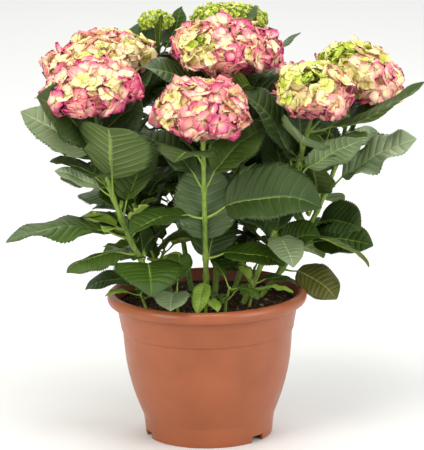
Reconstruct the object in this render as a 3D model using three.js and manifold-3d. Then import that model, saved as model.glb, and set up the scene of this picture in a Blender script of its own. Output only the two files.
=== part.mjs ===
// A potted mophead hydrangea: nine leafy canes in one clump, each ending in a domed flower head, in a
// round plastic pot with a rolled rim and a foot. Millimetres, +Z up, -Y is the side that faces the eye.
// The origin is the middle of the pot's flat underside.
import * as THREE from "three";
import { mergeVertices } from "three/addons/utils/BufferGeometryUtils.js";
import Module from "manifold-3d";

const wasm = await Module();
wasm.setup();

// Driving sizes of the pot. A name that ends in Drop is measured down from the top.
const potHeight = 205;
const rimRadius = 140;
const rimMouthRadius = 129;
const rimDrop = 18;
const wall = 3;
const bandTop = 127;
const bandBottom = 120.5;
const bandDrop = 54;
const bandStep = 1.8;
const footRadius = 89;
const footTopRadius = 92;
const footHeight = 28;
const potFloor = 12;
const potSides = 36;
const notchWidth = 22;
const notchHeight = 9;
const notchDepth = 13;
const notchBearings = [-41, 79, 199];

// Compost
const soilDrop = 17;
const soilRoughness = 2.2;
const soilSides = 18;

// Canes. footSpread is how far out a foot stands, as a share of its flower head's place. bareShare is how
// far below its lowest leaves a cane ends and its leafy stem begins, as a share of the whole length.
const gap = 0.3;
const socketGap = 0.6;
const crownMiddle = [15, 45];
const footSpread = 0.3;
const bowSag = 0.3;
const caneFootDepth = 10;
const caneFootRadius = 4.2;
const caneTipRadius = 2.7;
const caneSides = 6;
const caneSteps = 3;
const stemSides = 5;
const stemSteps = 8;
const bareShare = 0.05;

// Leaves. Thickness and width are shares of the blade's length, and angles are degrees. stemSkin is how far
// out of the cane's middle a leaf starts to keep clear of others.
const stalkRadius = 1.5;
const stalkFlare = 0.3;
const stalkShortest = 12;
const stalkShare = 0.16;
const stalkLift = 8;
const stemSkin = 5;
const leafLongest = 124;
const leafThickness = 0.03;
const leafWidth = 0.72;
const leafDroop = 34;
const leafFold = 14;
const leafTurn = 46;
const leafClearance = 1.2;
const leavesPerCane = 40;

// How much leaves differ by chance, the pitch of one that points in or out at a cane's foot and how much more
// it has at the top, the size of a leaf at the cane's ends and how much longer outward ones are
const bearingScatter = 9;
const pitchScatter = 5;
const rollScatter = 6;
const bladeScatter = 0.08;
const pitchInwards = 32;
const pitchOutwards = -16;
const pitchInwardsRise = 20;
const pitchOutwardsRise = 30;
const leastLeaf = 0.7;
const outwardGain = 0.07;

// Flower heads
const petalReach = 22;
const petalShare = 0.27;
const floretSeat = 0.94;
const floretUneven = 0.03;
const floretDepth = 10;
const floretCrown = 0.8;
const headCore = 0.84;
const headSides = 12;
const lowestFloret = -0.7;

// Short shoots
const shootDepth = 4;
const shootRadius = 2.4;
const shootPitch = 74;

// A repeatable number from -1 to 1 for a whole number k
function vary(k) {
  const s = Math.sin(k * 12.9898 + 4.1414) * 43758.5453;
  return (s - Math.floor(s)) * 2 - 1;
}

const rad = (degrees) => (degrees * Math.PI) / 180;
const vector = (x, y, z) => new THREE.Vector3(x, y, z);

// Unit vector with a bearing in the ground plane (0 is +X, 90 is +Y) and a pitch above it
function heading(bearing, pitch) {
  const level = Math.cos(rad(pitch));
  return vector(level * Math.cos(rad(bearing)), level * Math.sin(rad(bearing)), Math.sin(rad(pitch)));
}

// The canes, front ones first. head is the widest place of the flower head, lean and toward tilt its axis
// from upright, radius is its half width, crown and belly its height above and below that place. bow is how
// far the cane stands out from a straight line. Leaf pairs sit at the shares of its length in nodes, each
// pair a quarter turn on from the last, starting at the bearing in turn. shown are the leaves whose place
// is plain to see: [pair, side, bearing, pitch, blade length, roll, and droop if it isn't the usual one].
// A tight head is a young one, whose florets are small and close.
const canes = [
  {
    name: "centre_front", head: [-2, -95, 474], lean: 14, toward: 270, radius: 66, crown: 44, belly: 26,
    florets: 18, bow: 0.1, nodes: [0.2, 0.31, 0.53, 0.68, 0.82, 0.94], turn: 75,
    shown: [
      [0, 1, 262, -30, 60, 0], [1, 0, 347, -8, 90, 14], [1, 1, 100, 78, 108, 0], [2, 0, 343, 6, 140, 50],
      [2, 1, 194, -8, 94, -6], [3, 0, 20, 34, 104, 24], [3, 1, 166, 34, 96, -16], [5, 0, 330, 6, 40, 0],
    ],
  },
  {
    name: "front_left", head: [-152, -65, 498], lean: 10, toward: 225, radius: 72, crown: 42, belly: 19,
    florets: 21, bow: 0.38, nodes: [0.16, 0.24, 0.31, 0.39, 0.48, 0.59, 0.72, 0.84], turn: 185,
    shown: [
      [0, 0, 184, -8, 76, -14], [0, 1, 16, 36, 40, 10], [1, 0, 276, -6, 122, 0, 44], [1, 1, 100, 30, 60, 0],
      [2, 0, 202, -12, 84, -10], [2, 1, 150, 24, 64, 0], [3, 0, 187, -3, 142, -6], [3, 1, 30, 20, 60, 10],
      [4, 0, 46, 44, 98, 0], [4, 1, 80, 20, 80, 0], [5, 0, 168, 21, 68, -30, 10], [5, 1, 269, 50, 118, -20, 10],
      [6, 0, 167, 28, 112, -50, 16], [6, 1, 16, 54, 88, 45], [7, 0, 192, 38, 56, -60, 10], [7, 1, 10, 34, 50, 40],
    ],
  },
  {
    name: "right_front", head: [150, -52, 489], lean: 16, toward: 290, radius: 54, crown: 45, belly: 30,
    florets: 15, bow: 0.16, nodes: [0.14, 0.27, 0.4, 0.54, 0.68, 0.8, 0.91], turn: 0,
    shown: [
      [0, 0, 24, -10, 48, 10], [1, 0, 325, 10, 80, 48], [2, 0, 300, -34, 70, 0], [2, 1, 350, -12, 116, -12],
      [3, 0, 262, -20, 56, 0], [4, 0, 336, 31, 92, -50, 6], [4, 1, 190, 56, 116, -30],
      [6, 0, 354, 28, 142, 4, -44],
    ],
  },
  {
    name: "right_back", head: [218, 70, 491], lean: 26, toward: 0, radius: 68, crown: 48, belly: 30,
    florets: 19, bow: 0.38, nodes: [0.18, 0.28, 0.38, 0.47, 0.56, 0.68, 0.8, 0.92], turn: 330,
    shown: [
      [0, 0, 332, -28, 72, 36], [1, 0, 345, 0, 90, 42], [2, 0, 312, 4, 84, 40], [3, 1, 110, 10, 70, 0],
      [4, 0, 350, 30, 120, 24, 10], [4, 1, 120, 60, 96, 0], [5, 0, 345, 36, 62, -50], [6, 0, 338, 30, 78, 38],
      [6, 1, 70, 24, 84, 0],
    ],
  },
  {
    name: "back_left", head: [-147, 105, 511], lean: 12, toward: 165, radius: 82, crown: 42, belly: 26,
    florets: 25, bow: 0.26, nodes: [0.18, 0.29, 0.4, 0.5, 0.6, 0.7, 0.8, 0.92], turn: 130,
    shown: [[7, 0, 188, -10, 98, -10], [6, 0, 350, 48, 84, 40], [7, 1, 8, 8, 96, 20, -10]],
  },
  {
    name: "top_centre", head: [32, 48, 535], lean: 4, toward: 300, radius: 82, crown: 41, belly: 28,
    florets: 25, bow: 0.1, nodes: [0.24, 0.36, 0.48, 0.58, 0.68, 0.77, 0.86, 0.93], turn: 20,
    shown: [[6, 0, 336, 4, 104, 40], [7, 0, 186, 8, 96, -30, -20], [7, 1, 100, 8, 100, 0, -10]],
  },
  {
    name: "top_back", head: [37, 200, 555], lean: 8, toward: 80, radius: 56, crown: 23, belly: 16,
    florets: 19, tight: true, bow: 0.2, nodes: [0.22, 0.33, 0.44, 0.55, 0.65, 0.75, 0.85, 0.94], turn: 60,
    shown: [
      [6, 0, 34, 18, 112, 6, -16], [7, 0, 60, 30, 60, 0], [7, 1, 338, 30, 50, 20],
    ],
  },
  {
    name: "small_back", head: [-68, 182, 556], lean: 8, toward: 120, radius: 23, crown: 15, belly: 11,
    florets: 9, tight: true, bow: 0.16, nodes: [0.24, 0.34, 0.45, 0.56, 0.67, 0.78, 0.88], turn: 100,
    shown: [
      [5, 1, 80, 50, 40, 10], [6, 0, 145, 28, 56, -40], [6, 1, 38, 61, 66, 0, -20],
    ],
  },
  {
    name: "back_right", head: [112, 168, 458], lean: 20, toward: 50, radius: 60, crown: 38, belly: 24,
    florets: 14, bow: 0.24, nodes: [0.22, 0.34, 0.46, 0.57, 0.68, 0.79, 0.9], turn: 40, shown: [],
  },
];

// Short shoots from the soil: [foot x, foot y, height, bearing of the top pair, blade length]
const shoots = [
  [-40, -62, 38, 262, 64],
  [-2, -62, 30, 275, 30],
  [24, -66, 44, 310, 46],
  [58, -40, 34, 340, 40],
  [-58, 14, 90, 195, 48],
  [-84, -50, 30, 188, 34],
];

const soilTop = potHeight - soilDrop;

// Solids from three.js geometries and back
function toSolid(geometry) {
  const bare = geometry.index ? geometry.toNonIndexed() : geometry.clone();
  bare.deleteAttribute("normal");
  bare.deleteAttribute("uv");
  const merged = mergeVertices(bare, 1e-3);
  const vertProperties = merged.attributes.position.array;
  const solid = new wasm.Manifold(
    new wasm.Mesh({ numProp: 3, vertProperties, triVerts: new Uint32Array(merged.index.array) }),
  );
  if (solid.volume() > 0) return solid;
  const turned = new Uint32Array(merged.index.array).reverse();
  return new wasm.Manifold(new wasm.Mesh({ numProp: 3, vertProperties, triVerts: turned }));
}

function toGeometry(solid) {
  const mesh = solid.getMesh();
  const points = new Float32Array(mesh.numVert * 3);
  for (let i = 0; i < mesh.numVert; i++) {
    points.set(mesh.vertProperties.subarray(i * mesh.numProp, i * mesh.numProp + 3), i * 3);
  }
  const geometry = new THREE.BufferGeometry();
  geometry.setAttribute("position", new THREE.BufferAttribute(points, 3));
  geometry.setIndex(new THREE.BufferAttribute(new Uint32Array(mesh.triVerts), 1));
  geometry.computeVertexNormals();
  return geometry;
}

// The outer shell of the largest body, so that no sealed pocket or loose scrap is left
function oneBody(solid) {
  return solid.decompose().reduce((best, body) => (body.volume() > best.volume() ? body : best));
}

// A closed skin through rings with the same number of points. A ring of one point is a tip.
function skin(rings) {
  const position = [];
  const face = (...points) => points.forEach((p) => position.push(p.x, p.y, p.z));
  const cap = (ring, flip) => {
    for (let i = 1; i < ring.length - 1; i++) {
      if (flip) face(ring[0], ring[i + 1], ring[i]);
      else face(ring[0], ring[i], ring[i + 1]);
    }
  };
  for (let r = 0; r < rings.length - 1; r++) {
    const low = rings[r];
    const high = rings[r + 1];
    const count = Math.max(low.length, high.length);
    for (let i = 0; i < count; i++) {
      const a = low[i % low.length];
      const b = low[(i + 1) % low.length];
      const c = high[(i + 1) % high.length];
      const d = high[i % high.length];
      if (low.length > 1) face(a, b, d);
      if (high.length > 1) face(b, c, d);
    }
  }
  cap(rings[0], true);
  cap(rings[rings.length - 1], false);
  const geometry = new THREE.BufferGeometry();
  geometry.setAttribute("position", new THREE.Float32BufferAttribute(position, 3));
  return toSolid(geometry);
}

// A round ring of points square to a direction
function ringAround(centre, along, radius, sides) {
  const aside = vector(0, 1, 0).cross(along).normalize();
  const across = along.clone().cross(aside).normalize();
  return Array.from({ length: sides }, (_, i) => {
    const turn = (i / sides) * Math.PI * 2;
    return centre
      .clone()
      .addScaledVector(aside, Math.cos(turn) * radius)
      .addScaledVector(across, Math.sin(turn) * radius);
  });
}

// A cane's line from its foot to the underside of its flower head, bowed outwards
function caneFrame(cane) {
  const head = vector(...cane.head);
  const foot = vector(head.x * footSpread, head.y * footSpread, soilTop - caneFootDepth);
  const axis = heading(cane.toward, 90 - cane.lean);
  const neck = head.clone().addScaledVector(axis, -cane.belly);
  const out = vector(neck.x - foot.x, neck.y - foot.y, 0);
  const middle = foot.clone().lerp(neck, 0.5).addScaledVector(out, cane.bow);
  middle.z -= out.length() * cane.bow * bowSag;
  const line = new THREE.QuadraticBezierCurve3(foot, middle, neck);
  const bearing = (Math.atan2(head.y - crownMiddle[1], head.x - crownMiddle[0]) * 180) / Math.PI;
  return { line, axis, head, neck, foot, bearing, entry: cane.nodes[0] - bareShare };
}

// The stretch of a cane between two shares of its length, its start moved by lift and its skin by grow
function caneTube(line, from, to, steps, sides, lift = 0, grow = 0) {
  const rings = [];
  for (let i = 0; i <= steps; i++) {
    const share = from + ((to - from) * i) / steps;
    const along = share === 0 ? vector(0, 0, 1) : line.getTangent(share);
    const centre = line.getPoint(share).addScaledVector(along, i === 0 ? lift : 0);
    const radius = THREE.MathUtils.lerp(caneFootRadius, caneTipRadius, share);
    rings.push(ringAround(centre, along, radius + grow, sides));
  }
  return skin(rings);
}

// The leaf that a cane's rule gives to a pair and side: [bearing, pitch, blade length, roll]. A leaf that
// points away from the crown's middle hangs a little, one that points inwards stands up, and one that lies
// across turns its face outwards to the light.
function ruledLeaf(cane, frame, pair, side, k) {
  const share = cane.nodes[pair];
  const bearing = cane.turn + 90 * pair + 180 * side + bearingScatter * vary(k);
  const outward = Math.cos(rad(bearing - frame.bearing));
  const inwards = pitchInwards + pitchInwardsRise * share;
  const outwards = pitchOutwards + pitchOutwardsRise * share;
  const pitch = THREE.MathUtils.lerp(inwards, outwards, (1 + outward) / 2);
  const size = leastLeaf + (1 - leastLeaf) * Math.sin(Math.PI * share ** 0.8);
  const gain = 1 - outwardGain + outwardGain * outward;
  const blade = leafLongest * size * gain * (1 + bladeScatter * vary(k + 300));
  const roll = leafTurn * Math.sin(rad(bearing - frame.bearing));
  return [bearing, pitch + pitchScatter * vary(k + 100), blade, roll + rollScatter * vary(k + 200)];
}

// Half width of a blade at a share of its length, as a share of its greatest half width
const bladeStations = [
  [0.3, 0.96],
  [0.7, 0.68],
];

// The midrib of a leaf: a stalk, then a blade that arches over in the plane of its bearing. at gives the
// midrib's point, the direction across the blade and the blade's normal at a share of its length.
function leafFrame(root, [bearing, pitch, blade, roll, droop = leafDroop]) {
  const rise = pitch + droop / 2;
  const stalk = heading(bearing, rise + stalkLift);
  const base = root.clone().addScaledVector(stalk, stalkShortest + blade * stalkShare);
  const at = (share) => {
    const start = rad(rise);
    const end = rad(rise - droop * share);
    const reach = blade / rad(droop);
    const along = (Math.sin(start) - Math.sin(end)) * reach;
    const up = (Math.cos(end) - Math.cos(start)) * reach;
    const point = base.clone().addScaledVector(heading(bearing, 0), along);
    point.z += up;
    const level = heading(bearing + 90, 0);
    const upright = heading(bearing, rise - droop * share + 90);
    const turn = rad(roll);
    const side = level.clone().multiplyScalar(Math.cos(turn)).addScaledVector(upright, Math.sin(turn));
    const normal = upright.clone().multiplyScalar(Math.cos(turn)).addScaledVector(level, -Math.sin(turn));
    return { point, side, normal };
  };
  return { base, at };
}

// A leaf: a diamond stalk that widens into a folded blade with a thick midrib and thin edges. from is how
// far along the stalk it starts, and extra is how far its skin stands out.
function leafSolid(root, leaf, from = 0, extra = 0) {
  const [bearing, pitch, blade, , droop = leafDroop] = leaf;
  const { base, at } = leafFrame(root, leaf);
  const half = (blade * leafWidth) / 2;
  const thick = (blade * leafThickness) / 2 + extra;
  const level = heading(bearing + 90, 0);
  const upright = heading(bearing, pitch + droop / 2 + stalkLift + 90);
  const diamond = (centre, width, height) => [
    centre.clone().addScaledVector(level, width),
    centre.clone().addScaledVector(upright, height),
    centre.clone().addScaledVector(level, -width),
    centre.clone().addScaledVector(upright, -height),
  ];
  const start = root.clone().addScaledVector(base.clone().sub(root).normalize(), from);
  const rings = [
    diamond(start, stalkRadius + stalkFlare + extra, stalkRadius + stalkFlare + extra),
    diamond(base, stalkRadius + extra, Math.max(stalkRadius, thick)),
  ];
  for (const [share, width] of bladeStations) {
    const { point, side, normal } = at(share);
    const reach = Math.cos(rad(leafFold)) * half * width + extra;
    const lift = Math.sin(rad(leafFold)) * half * width;
    const edge = (sign) => point.clone().addScaledVector(side, sign * reach).addScaledVector(normal, lift);
    rings.push([
      edge(1),
      point.clone().addScaledVector(normal, thick),
      edge(-1),
      point.clone().addScaledVector(normal, -thick),
    ]);
  }
  rings.push([at(1).point]);
  return skin(rings);
}

// What is already in place: leaves keep clear of all of it
const placed = [];
function clearOf(solid, owner) {
  const box = solid.boundingBox();
  for (const other of placed) {
    if (other.owner === owner) continue;
    const apart = [0, 1, 2].some((i) => box.max[i] < other.box.min[i] || box.min[i] > other.box.max[i]);
    if (!apart && !solid.intersect(other.solid).isEmpty()) return false;
  }
  return true;
}
function place(owner, solid) {
  placed.push({ owner, solid, box: solid.boundingBox() });
  return solid;
}

// A leaf that would touch something tries these turns and pitches, then a shorter blade, and is skipped last
const leafTries = [
  [0, 0], [0, 10], [0, -10], [14, 0], [-14, 0], [14, 12], [-14, 12], [14, -12], [-14, -12],
  [28, 0], [-28, 0], [28, 16], [-28, 16], [40, -10], [-40, -10],
];
const leafSizes = [1, 0.82, 0.66];

function growLeaf(root, leaf, owner) {
  for (const size of leafSizes) {
    for (const [turn, pitch] of leafTries) {
      const tried = [leaf[0] + turn, leaf[1] + pitch, leaf[2] * size, ...leaf.slice(3)];
      if (!clearOf(leafSolid(root, tried, stemSkin, leafClearance), owner)) continue;
      place("leaf", leafSolid(root, tried, stemSkin));
      return leafSolid(root, tried);
    }
  }
  return null;
}

// The pot's bulge, from its foot to the step under its band, as radius and height
const bulge = [
  [footTopRadius + 0.8, footHeight + 1],
  [97, 40],
  [108.5, 76],
  [115, 108],
  [bandBottom - bandStep, potHeight - bandDrop - 1.5],
];

// The pot's inner face, from under the rim to the middle of the floor
const innerFace = [
  [bandTop - wall, potHeight - rimDrop - 2],
  [bandBottom - bandStep - wall, potHeight - bandDrop - 3],
  [108.5 - wall, 76],
  [footRadius - wall - 1, footHeight],
  [footRadius - wall - 2, potFloor],
];

function latheSolid(outline, sides) {
  const points = outline.map(([r, z]) => new THREE.Vector2(r, z));
  return toSolid(new THREE.LatheGeometry(points, sides)).rotate([90, 0, 0]);
}

function makePot() {
  const rimTop = [
    [rimRadius - 4.5, potHeight - rimDrop],
    [rimRadius, potHeight - rimDrop + 5],
    [rimRadius, potHeight - 6],
    [(rimRadius + rimMouthRadius) / 2 + 1, potHeight],
    [rimMouthRadius + 1.5, potHeight - 1],
    [rimMouthRadius - 0.6, potHeight - 5],
  ];
  const outline = [
    [0, 0],
    [footRadius, 0],
    [footTopRadius, footHeight],
    ...bulge,
    [bandBottom, potHeight - bandDrop],
    [bandTop, potHeight - rimDrop],
    ...rimTop,
    ...innerFace,
    [0, potFloor],
    [0, 0],
  ];
  let pot = latheSolid(outline, potSides);
  for (const bearing of notchBearings) {
    const notch = new THREE.BoxGeometry(notchDepth * 2, notchWidth, notchHeight * 2);
    notch.translate(footRadius, 0, 0);
    notch.rotateZ(rad(bearing));
    pot = pot.subtract(toSolid(notch));
  }
  return pot;
}

// Compost: fills the pot to a lumpy top, with a socket for each cane and shoot
function makeCompost(sockets) {
  const flat = Math.cos(Math.PI / potSides);
  const face = innerFace.map(([r, z]) => [r * flat - gap, z]).reverse();
  face[0][1] += gap;
  face[face.length - 1] = [bandTop - wall - 3, soilTop - 5];
  const outline = [
    [0, potFloor + gap],
    ...face,
    [112, soilTop],
    [78, soilTop],
    [40, soilTop],
    [0, soilTop],
  ];
  const lathe = new THREE.LatheGeometry(outline.map(([r, z]) => new THREE.Vector2(r, z)), soilSides);
  const position = lathe.attributes.position;
  for (let i = 0; i < position.count; i++) {
    const radius = Math.hypot(position.getX(i), position.getZ(i));
    if (position.getY(i) < soilTop - 1 || radius < 1) continue;
    const cell = Math.round(position.getX(i)) * 7 + Math.round(position.getZ(i)) * 13;
    position.setY(i, position.getY(i) + vary(cell) * soilRoughness);
  }
  let compost = toSolid(lathe).rotate([90, 0, 0]);
  for (const socket of sockets) compost = compost.subtract(socket);
  return oneBody(compost);
}

// The k-th of n florets, spread evenly over the dome by the golden angle
function floretPlace(cane, frame, turn, k) {
  const even = 1 - ((k + 0.5) / cane.florets) * (1 - lowestFloret);
  const height = even * Math.abs(even) ** 0.12;
  const ring = Math.sqrt(1 - height * height);
  const angle = k * Math.PI * (3 - Math.sqrt(5));
  const depth = height > 0 ? cane.crown : cane.belly;
  const reach = ring * cane.radius;
  const local = vector(reach * Math.cos(angle), reach * Math.sin(angle), height * depth);
  const normal = vector(local.x / cane.radius ** 2, local.y / cane.radius ** 2, local.z / depth ** 2);
  normal.normalize().applyQuaternion(turn);
  const seat = floretSeat + floretUneven * vary(k + 31);
  const point = local.multiplyScalar(seat).applyQuaternion(turn).add(frame.head);
  return { point, normal };
}

// A floret: a four-petalled star whose pin runs down into the dome, or a plain square in a tight head
function floretSolid(point, normal, reach, tight, k) {
  const aside = vector(0.3, 1, 0.2).cross(normal).normalize();
  const across = normal.clone().cross(aside);
  const turn = vary(k + 7) * Math.PI;
  const corners = tight ? 4 : 8;
  const star = Array.from({ length: corners }, (_, i) => {
    const angle = turn + (i / corners) * Math.PI * 2;
    const out = i % 2 && !tight ? reach * 0.6 : reach;
    return point
      .clone()
      .addScaledVector(aside, Math.cos(angle) * out)
      .addScaledVector(across, Math.sin(angle) * out)
      .addScaledVector(normal, i % 2 ? -1.5 : 0);
  });
  return skin([
    [point.clone().addScaledVector(normal, -floretDepth)],
    star,
    [point.clone().addScaledVector(normal, floretCrown)],
  ]);
}

// Flower head: a dome with four-petalled florets standing out of it, on a short neck
function makeBloom(cane, frame) {
  const { radius, crown, belly } = cane;
  const profile = [
    [0, -belly], [0.62, -belly * 0.78], [0.97, -belly * 0.24], [0.92, 0.4 * crown], [0.55, 0.84 * crown],
    [0, crown],
  ].map(([r, z]) => new THREE.Vector2(r * radius * headCore, z * headCore));
  const lathe = new THREE.LatheGeometry(profile, headSides);
  lathe.rotateX(Math.PI / 2);
  const turn = new THREE.Quaternion().setFromUnitVectors(vector(0, 0, 1), frame.axis);
  lathe.applyQuaternion(turn);
  lathe.translate(frame.head.x, frame.head.y, frame.head.z);
  let bloom = toSolid(lathe);
  const reach = Math.min(petalReach, radius * petalShare);
  for (let k = 0; k < cane.florets; k++) {
    const { point, normal } = floretPlace(cane, frame, turn, k);
    bloom = bloom.add(floretSolid(point, normal, reach, cane.tight, k));
  }
  const along = frame.line.getTangent(1);
  const seat = frame.neck.clone().addScaledVector(along, gap);
  const inside = frame.head.clone().addScaledVector(frame.axis, -belly * 0.4);
  bloom = bloom.add(skin([
    ringAround(seat, along, caneTipRadius, stemSides),
    ringAround(inside, frame.axis, caneTipRadius * 2, stemSides),
  ]));
  return oneBody(bloom);
}

// A cane's leafy top: the stem that carries on from the bare foot, with its leaves sunk into it
function makeLeaves(cane, frame, stem, first) {
  let mass = stem;
  cane.nodes.forEach((share, pair) => {
    for (const side of [0, 1]) {
      const k = first + pair * 2 + side;
      const shown = cane.shown.find(([p, s]) => p === pair && s === side);
      const leaf = shown ? shown.slice(2) : ruledLeaf(cane, frame, pair, side, k);
      const solid = growLeaf(frame.line.getPoint(share), leaf, "leaves_" + cane.name);
      if (solid) mass = mass.add(solid);
    }
  });
  return oneBody(mass);
}

// A shoot's stem, its start moved by lift and its skin by grow
function shootStem({ foot, tip }, lift = 0, grow = 0) {
  const upright = vector(0, 0, 1);
  return skin([
    ringAround(foot.clone().addScaledVector(upright, lift), upright, shootRadius + grow, stemSides),
    ringAround(tip, upright, shootRadius * 0.7 + grow, stemSides),
  ]);
}

// A shoot: a short stem with two crossed pairs of leaves
function makeShoot({ foot, tip, bearing, blade, stem }, owner) {
  const leaves = [
    [0.55, bearing + 90, 10, 0.7],
    [0.55, bearing - 90, 10, 0.7],
    [0.92, bearing, -8, 1],
    [0.92, bearing + 180, 34, 0.8],
  ];
  let shoot = stem;
  for (const [share, turn, pitch, size] of leaves) {
    const solid = growLeaf(foot.clone().lerp(tip, share), [turn, pitch, blade * size, 0], owner);
    if (solid) shoot = shoot.add(solid);
  }
  return oneBody(shoot);
}

// Materials
const plastic = new THREE.MeshStandardMaterial({ color: 0xbd6f4a, roughness: 0.45 });
const compostBrown = new THREE.MeshStandardMaterial({ color: 0x3b2d22, roughness: 1 });
const caneGreen = new THREE.MeshStandardMaterial({ color: 0x7c9a3c, roughness: 0.6 });
const leafGreen = new THREE.MeshStandardMaterial({ color: 0x4c6a35, roughness: 0.55 });
const shootGreen = new THREE.MeshStandardMaterial({ color: 0x7fa045, roughness: 0.55 });
const pink = new THREE.MeshStandardMaterial({ color: 0xe79aa6, roughness: 0.7 });
const lime = new THREE.MeshStandardMaterial({ color: 0xa9c24a, roughness: 0.7 });

const plant = new THREE.Group();
function addNode(name, solid, material) {
  const mesh = new THREE.Mesh(toGeometry(solid), material);
  mesh.name = name;
  plant.add(mesh);
}

// Pot and compost
const frames = canes.map((cane) => caneFrame(cane));
const shootFrames = shoots.map(([x, y, height, bearing, blade]) => {
  const foot = vector(x, y, soilTop - shootDepth);
  const tip = foot.clone().addScaledVector(heading(bearing, shootPitch), height);
  return { foot, tip, bearing, blade };
});
const compost = makeCompost([
  ...frames.map(({ line, entry }) => caneTube(line, 0, entry, caneSteps, caneSides, -gap, socketGap)),
  ...shootFrames.map((frame) => shootStem(frame, -gap, socketGap)),
]);
addNode("pot", place("pot", makePot()), plastic);
addNode("compost", place("compost", compost), compostBrown);

// Every cane and flower head comes before the leaves, which keep clear of them
const stems = canes.map((cane, i) => {
  const { line, entry } = frames[i];
  const bough = caneTube(line, 0, entry, caneSteps, caneSides);
  addNode("cane_" + cane.name, place("cane_" + cane.name, bough), caneGreen);
  return place("leaves_" + cane.name, caneTube(line, entry, 1, stemSteps, stemSides, gap));
});
shootFrames.forEach((frame, i) => {
  frame.stem = place("shoot_" + (i + 1), shootStem(frame));
});
canes.forEach((cane, i) => {
  const bloom = makeBloom(cane, frames[i]);
  addNode("bloom_" + cane.name, place("bloom_" + cane.name, bloom), cane.tight ? lime : pink);
});
canes.forEach((cane, i) => {
  addNode("leaves_" + cane.name, makeLeaves(cane, frames[i], stems[i], i * leavesPerCane), leafGreen);
});
shootFrames.forEach((frame, i) => {
  const name = "shoot_" + (i + 1);
  addNode(name, makeShoot(frame, name), shootGreen);
});

export default plant;
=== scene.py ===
import math

import bpy
import numpy as np
from mathutils import Matrix, Vector


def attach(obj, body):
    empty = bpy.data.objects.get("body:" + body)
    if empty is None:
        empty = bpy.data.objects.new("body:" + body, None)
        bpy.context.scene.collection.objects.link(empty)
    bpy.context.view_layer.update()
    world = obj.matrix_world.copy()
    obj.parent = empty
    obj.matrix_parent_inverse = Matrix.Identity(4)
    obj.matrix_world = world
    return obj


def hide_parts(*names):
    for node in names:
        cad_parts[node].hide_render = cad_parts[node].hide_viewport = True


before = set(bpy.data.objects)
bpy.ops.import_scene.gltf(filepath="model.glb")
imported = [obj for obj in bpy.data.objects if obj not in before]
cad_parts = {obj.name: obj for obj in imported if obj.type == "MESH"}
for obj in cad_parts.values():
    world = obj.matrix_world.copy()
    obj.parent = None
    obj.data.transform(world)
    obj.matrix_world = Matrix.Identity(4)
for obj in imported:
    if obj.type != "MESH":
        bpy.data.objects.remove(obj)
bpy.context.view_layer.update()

# A potted mophead hydrangea. All that grows is worked out in millimetres, by the rule that grew the frame's
# own leaves and flower heads, and is turned to metres where its mesh is made.
mm = 0.001


# Colours are given as they look on screen and are turned to linear light here
def tint(code):
    channels = [int(code[i:i + 2], 16) / 255 for i in (1, 3, 5)]
    return tuple(c / 12.92 if c <= 0.04045 else ((c + 0.055) / 1.055) ** 2.4 for c in channels) + (1.0,)


# Adds a node with its settings and links. stops are the places and colours of a colour ramp.
def addNode(tree, kind, settings=None, links=None):
    node = tree.nodes.new(kind)
    for key, value in (settings or {}).items():
        if key == "stops":
            for stop, (position, colour) in zip(node.color_ramp.elements, value):
                stop.position = position
                stop.color = tint(colour)
        elif isinstance(key, int) or key in node.inputs:
            node.inputs[key].default_value = value
        else:
            setattr(node, key, value)
    for key, source in (links or {}).items():
        tree.links.new(source, node.inputs[key])
    return node


def newMaterial(name, colour, settings):
    material = bpy.data.materials.new(name)
    material.use_nodes = True
    tree = material.node_tree
    shader = tree.nodes["Principled BSDF"]
    shader.inputs["Base Color"].default_value = tint(colour)
    for key, value in settings.items():
        shader.inputs[key].default_value = value
    place = addNode(tree, "ShaderNodeTexCoord").outputs["Object"]
    return material, tree, shader, place


# Settings of a noise whose cells are so many millimetres across
def grain(cell, detail=3.0, rough=0.55):
    return {"Scale": 1 / (cell * mm), "Detail": detail, "Roughness": rough}


# Settings that turn the middle of a pattern's range into values from low to high
def between(low, high, fromLow=0.3, fromHigh=0.7):
    return {"From Min": fromLow, "From Max": fromHigh, "To Min": low, "To Max": high}


# Gives a surface its relief, with the depth in millimetres, and lets a pattern lead its roughness
def setFinish(tree, shader, heights, depth, strength, pattern=None, rough=None):
    settings = {"Strength": strength, "Distance": depth * mm}
    bump = addNode(tree, "ShaderNodeBump", settings, {"Height": heights})
    tree.links.new(bump.outputs["Normal"], shader.inputs["Normal"])
    if pattern:
        wander = addNode(tree, "ShaderNodeMapRange", between(*rough), {"Value": pattern})
        tree.links.new(wander.outputs["Result"], shader.inputs["Roughness"])


print("camera and lights")

# The photograph's view: a little above the pot, from far off with a long lens, held a shade off level. Metres
# and degrees, and height is the angle that the picture's height takes in.
shot = {"elevation": 12.6, "distance": 3.8, "target": (0.0084, 0.0, 0.297), "height": 9.42, "roll": -0.9}


def setCamera():
    bpy.ops.object.camera_add()
    camera = bpy.context.object
    camera.name = "photoView"
    camera.data.sensor_fit = "VERTICAL"
    camera.data.angle = math.radians(shot["height"])
    lift = math.radians(shot["elevation"])
    roll = math.radians(shot["roll"])
    back = Vector((0, -math.cos(lift), math.sin(lift)))
    right = Vector((1, 0, 0))
    up = back.cross(right)
    tiltedRight = right * math.cos(roll) + up * math.sin(roll)
    tiltedUp = up * math.cos(roll) - right * math.sin(roll)
    turned = Matrix((tiltedRight, tiltedUp, back)).transposed().to_4x4()
    camera.matrix_world = Matrix.Translation(Vector(shot["target"]) + back * shot["distance"]) @ turned
    bpy.context.scene.camera = camera


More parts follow.
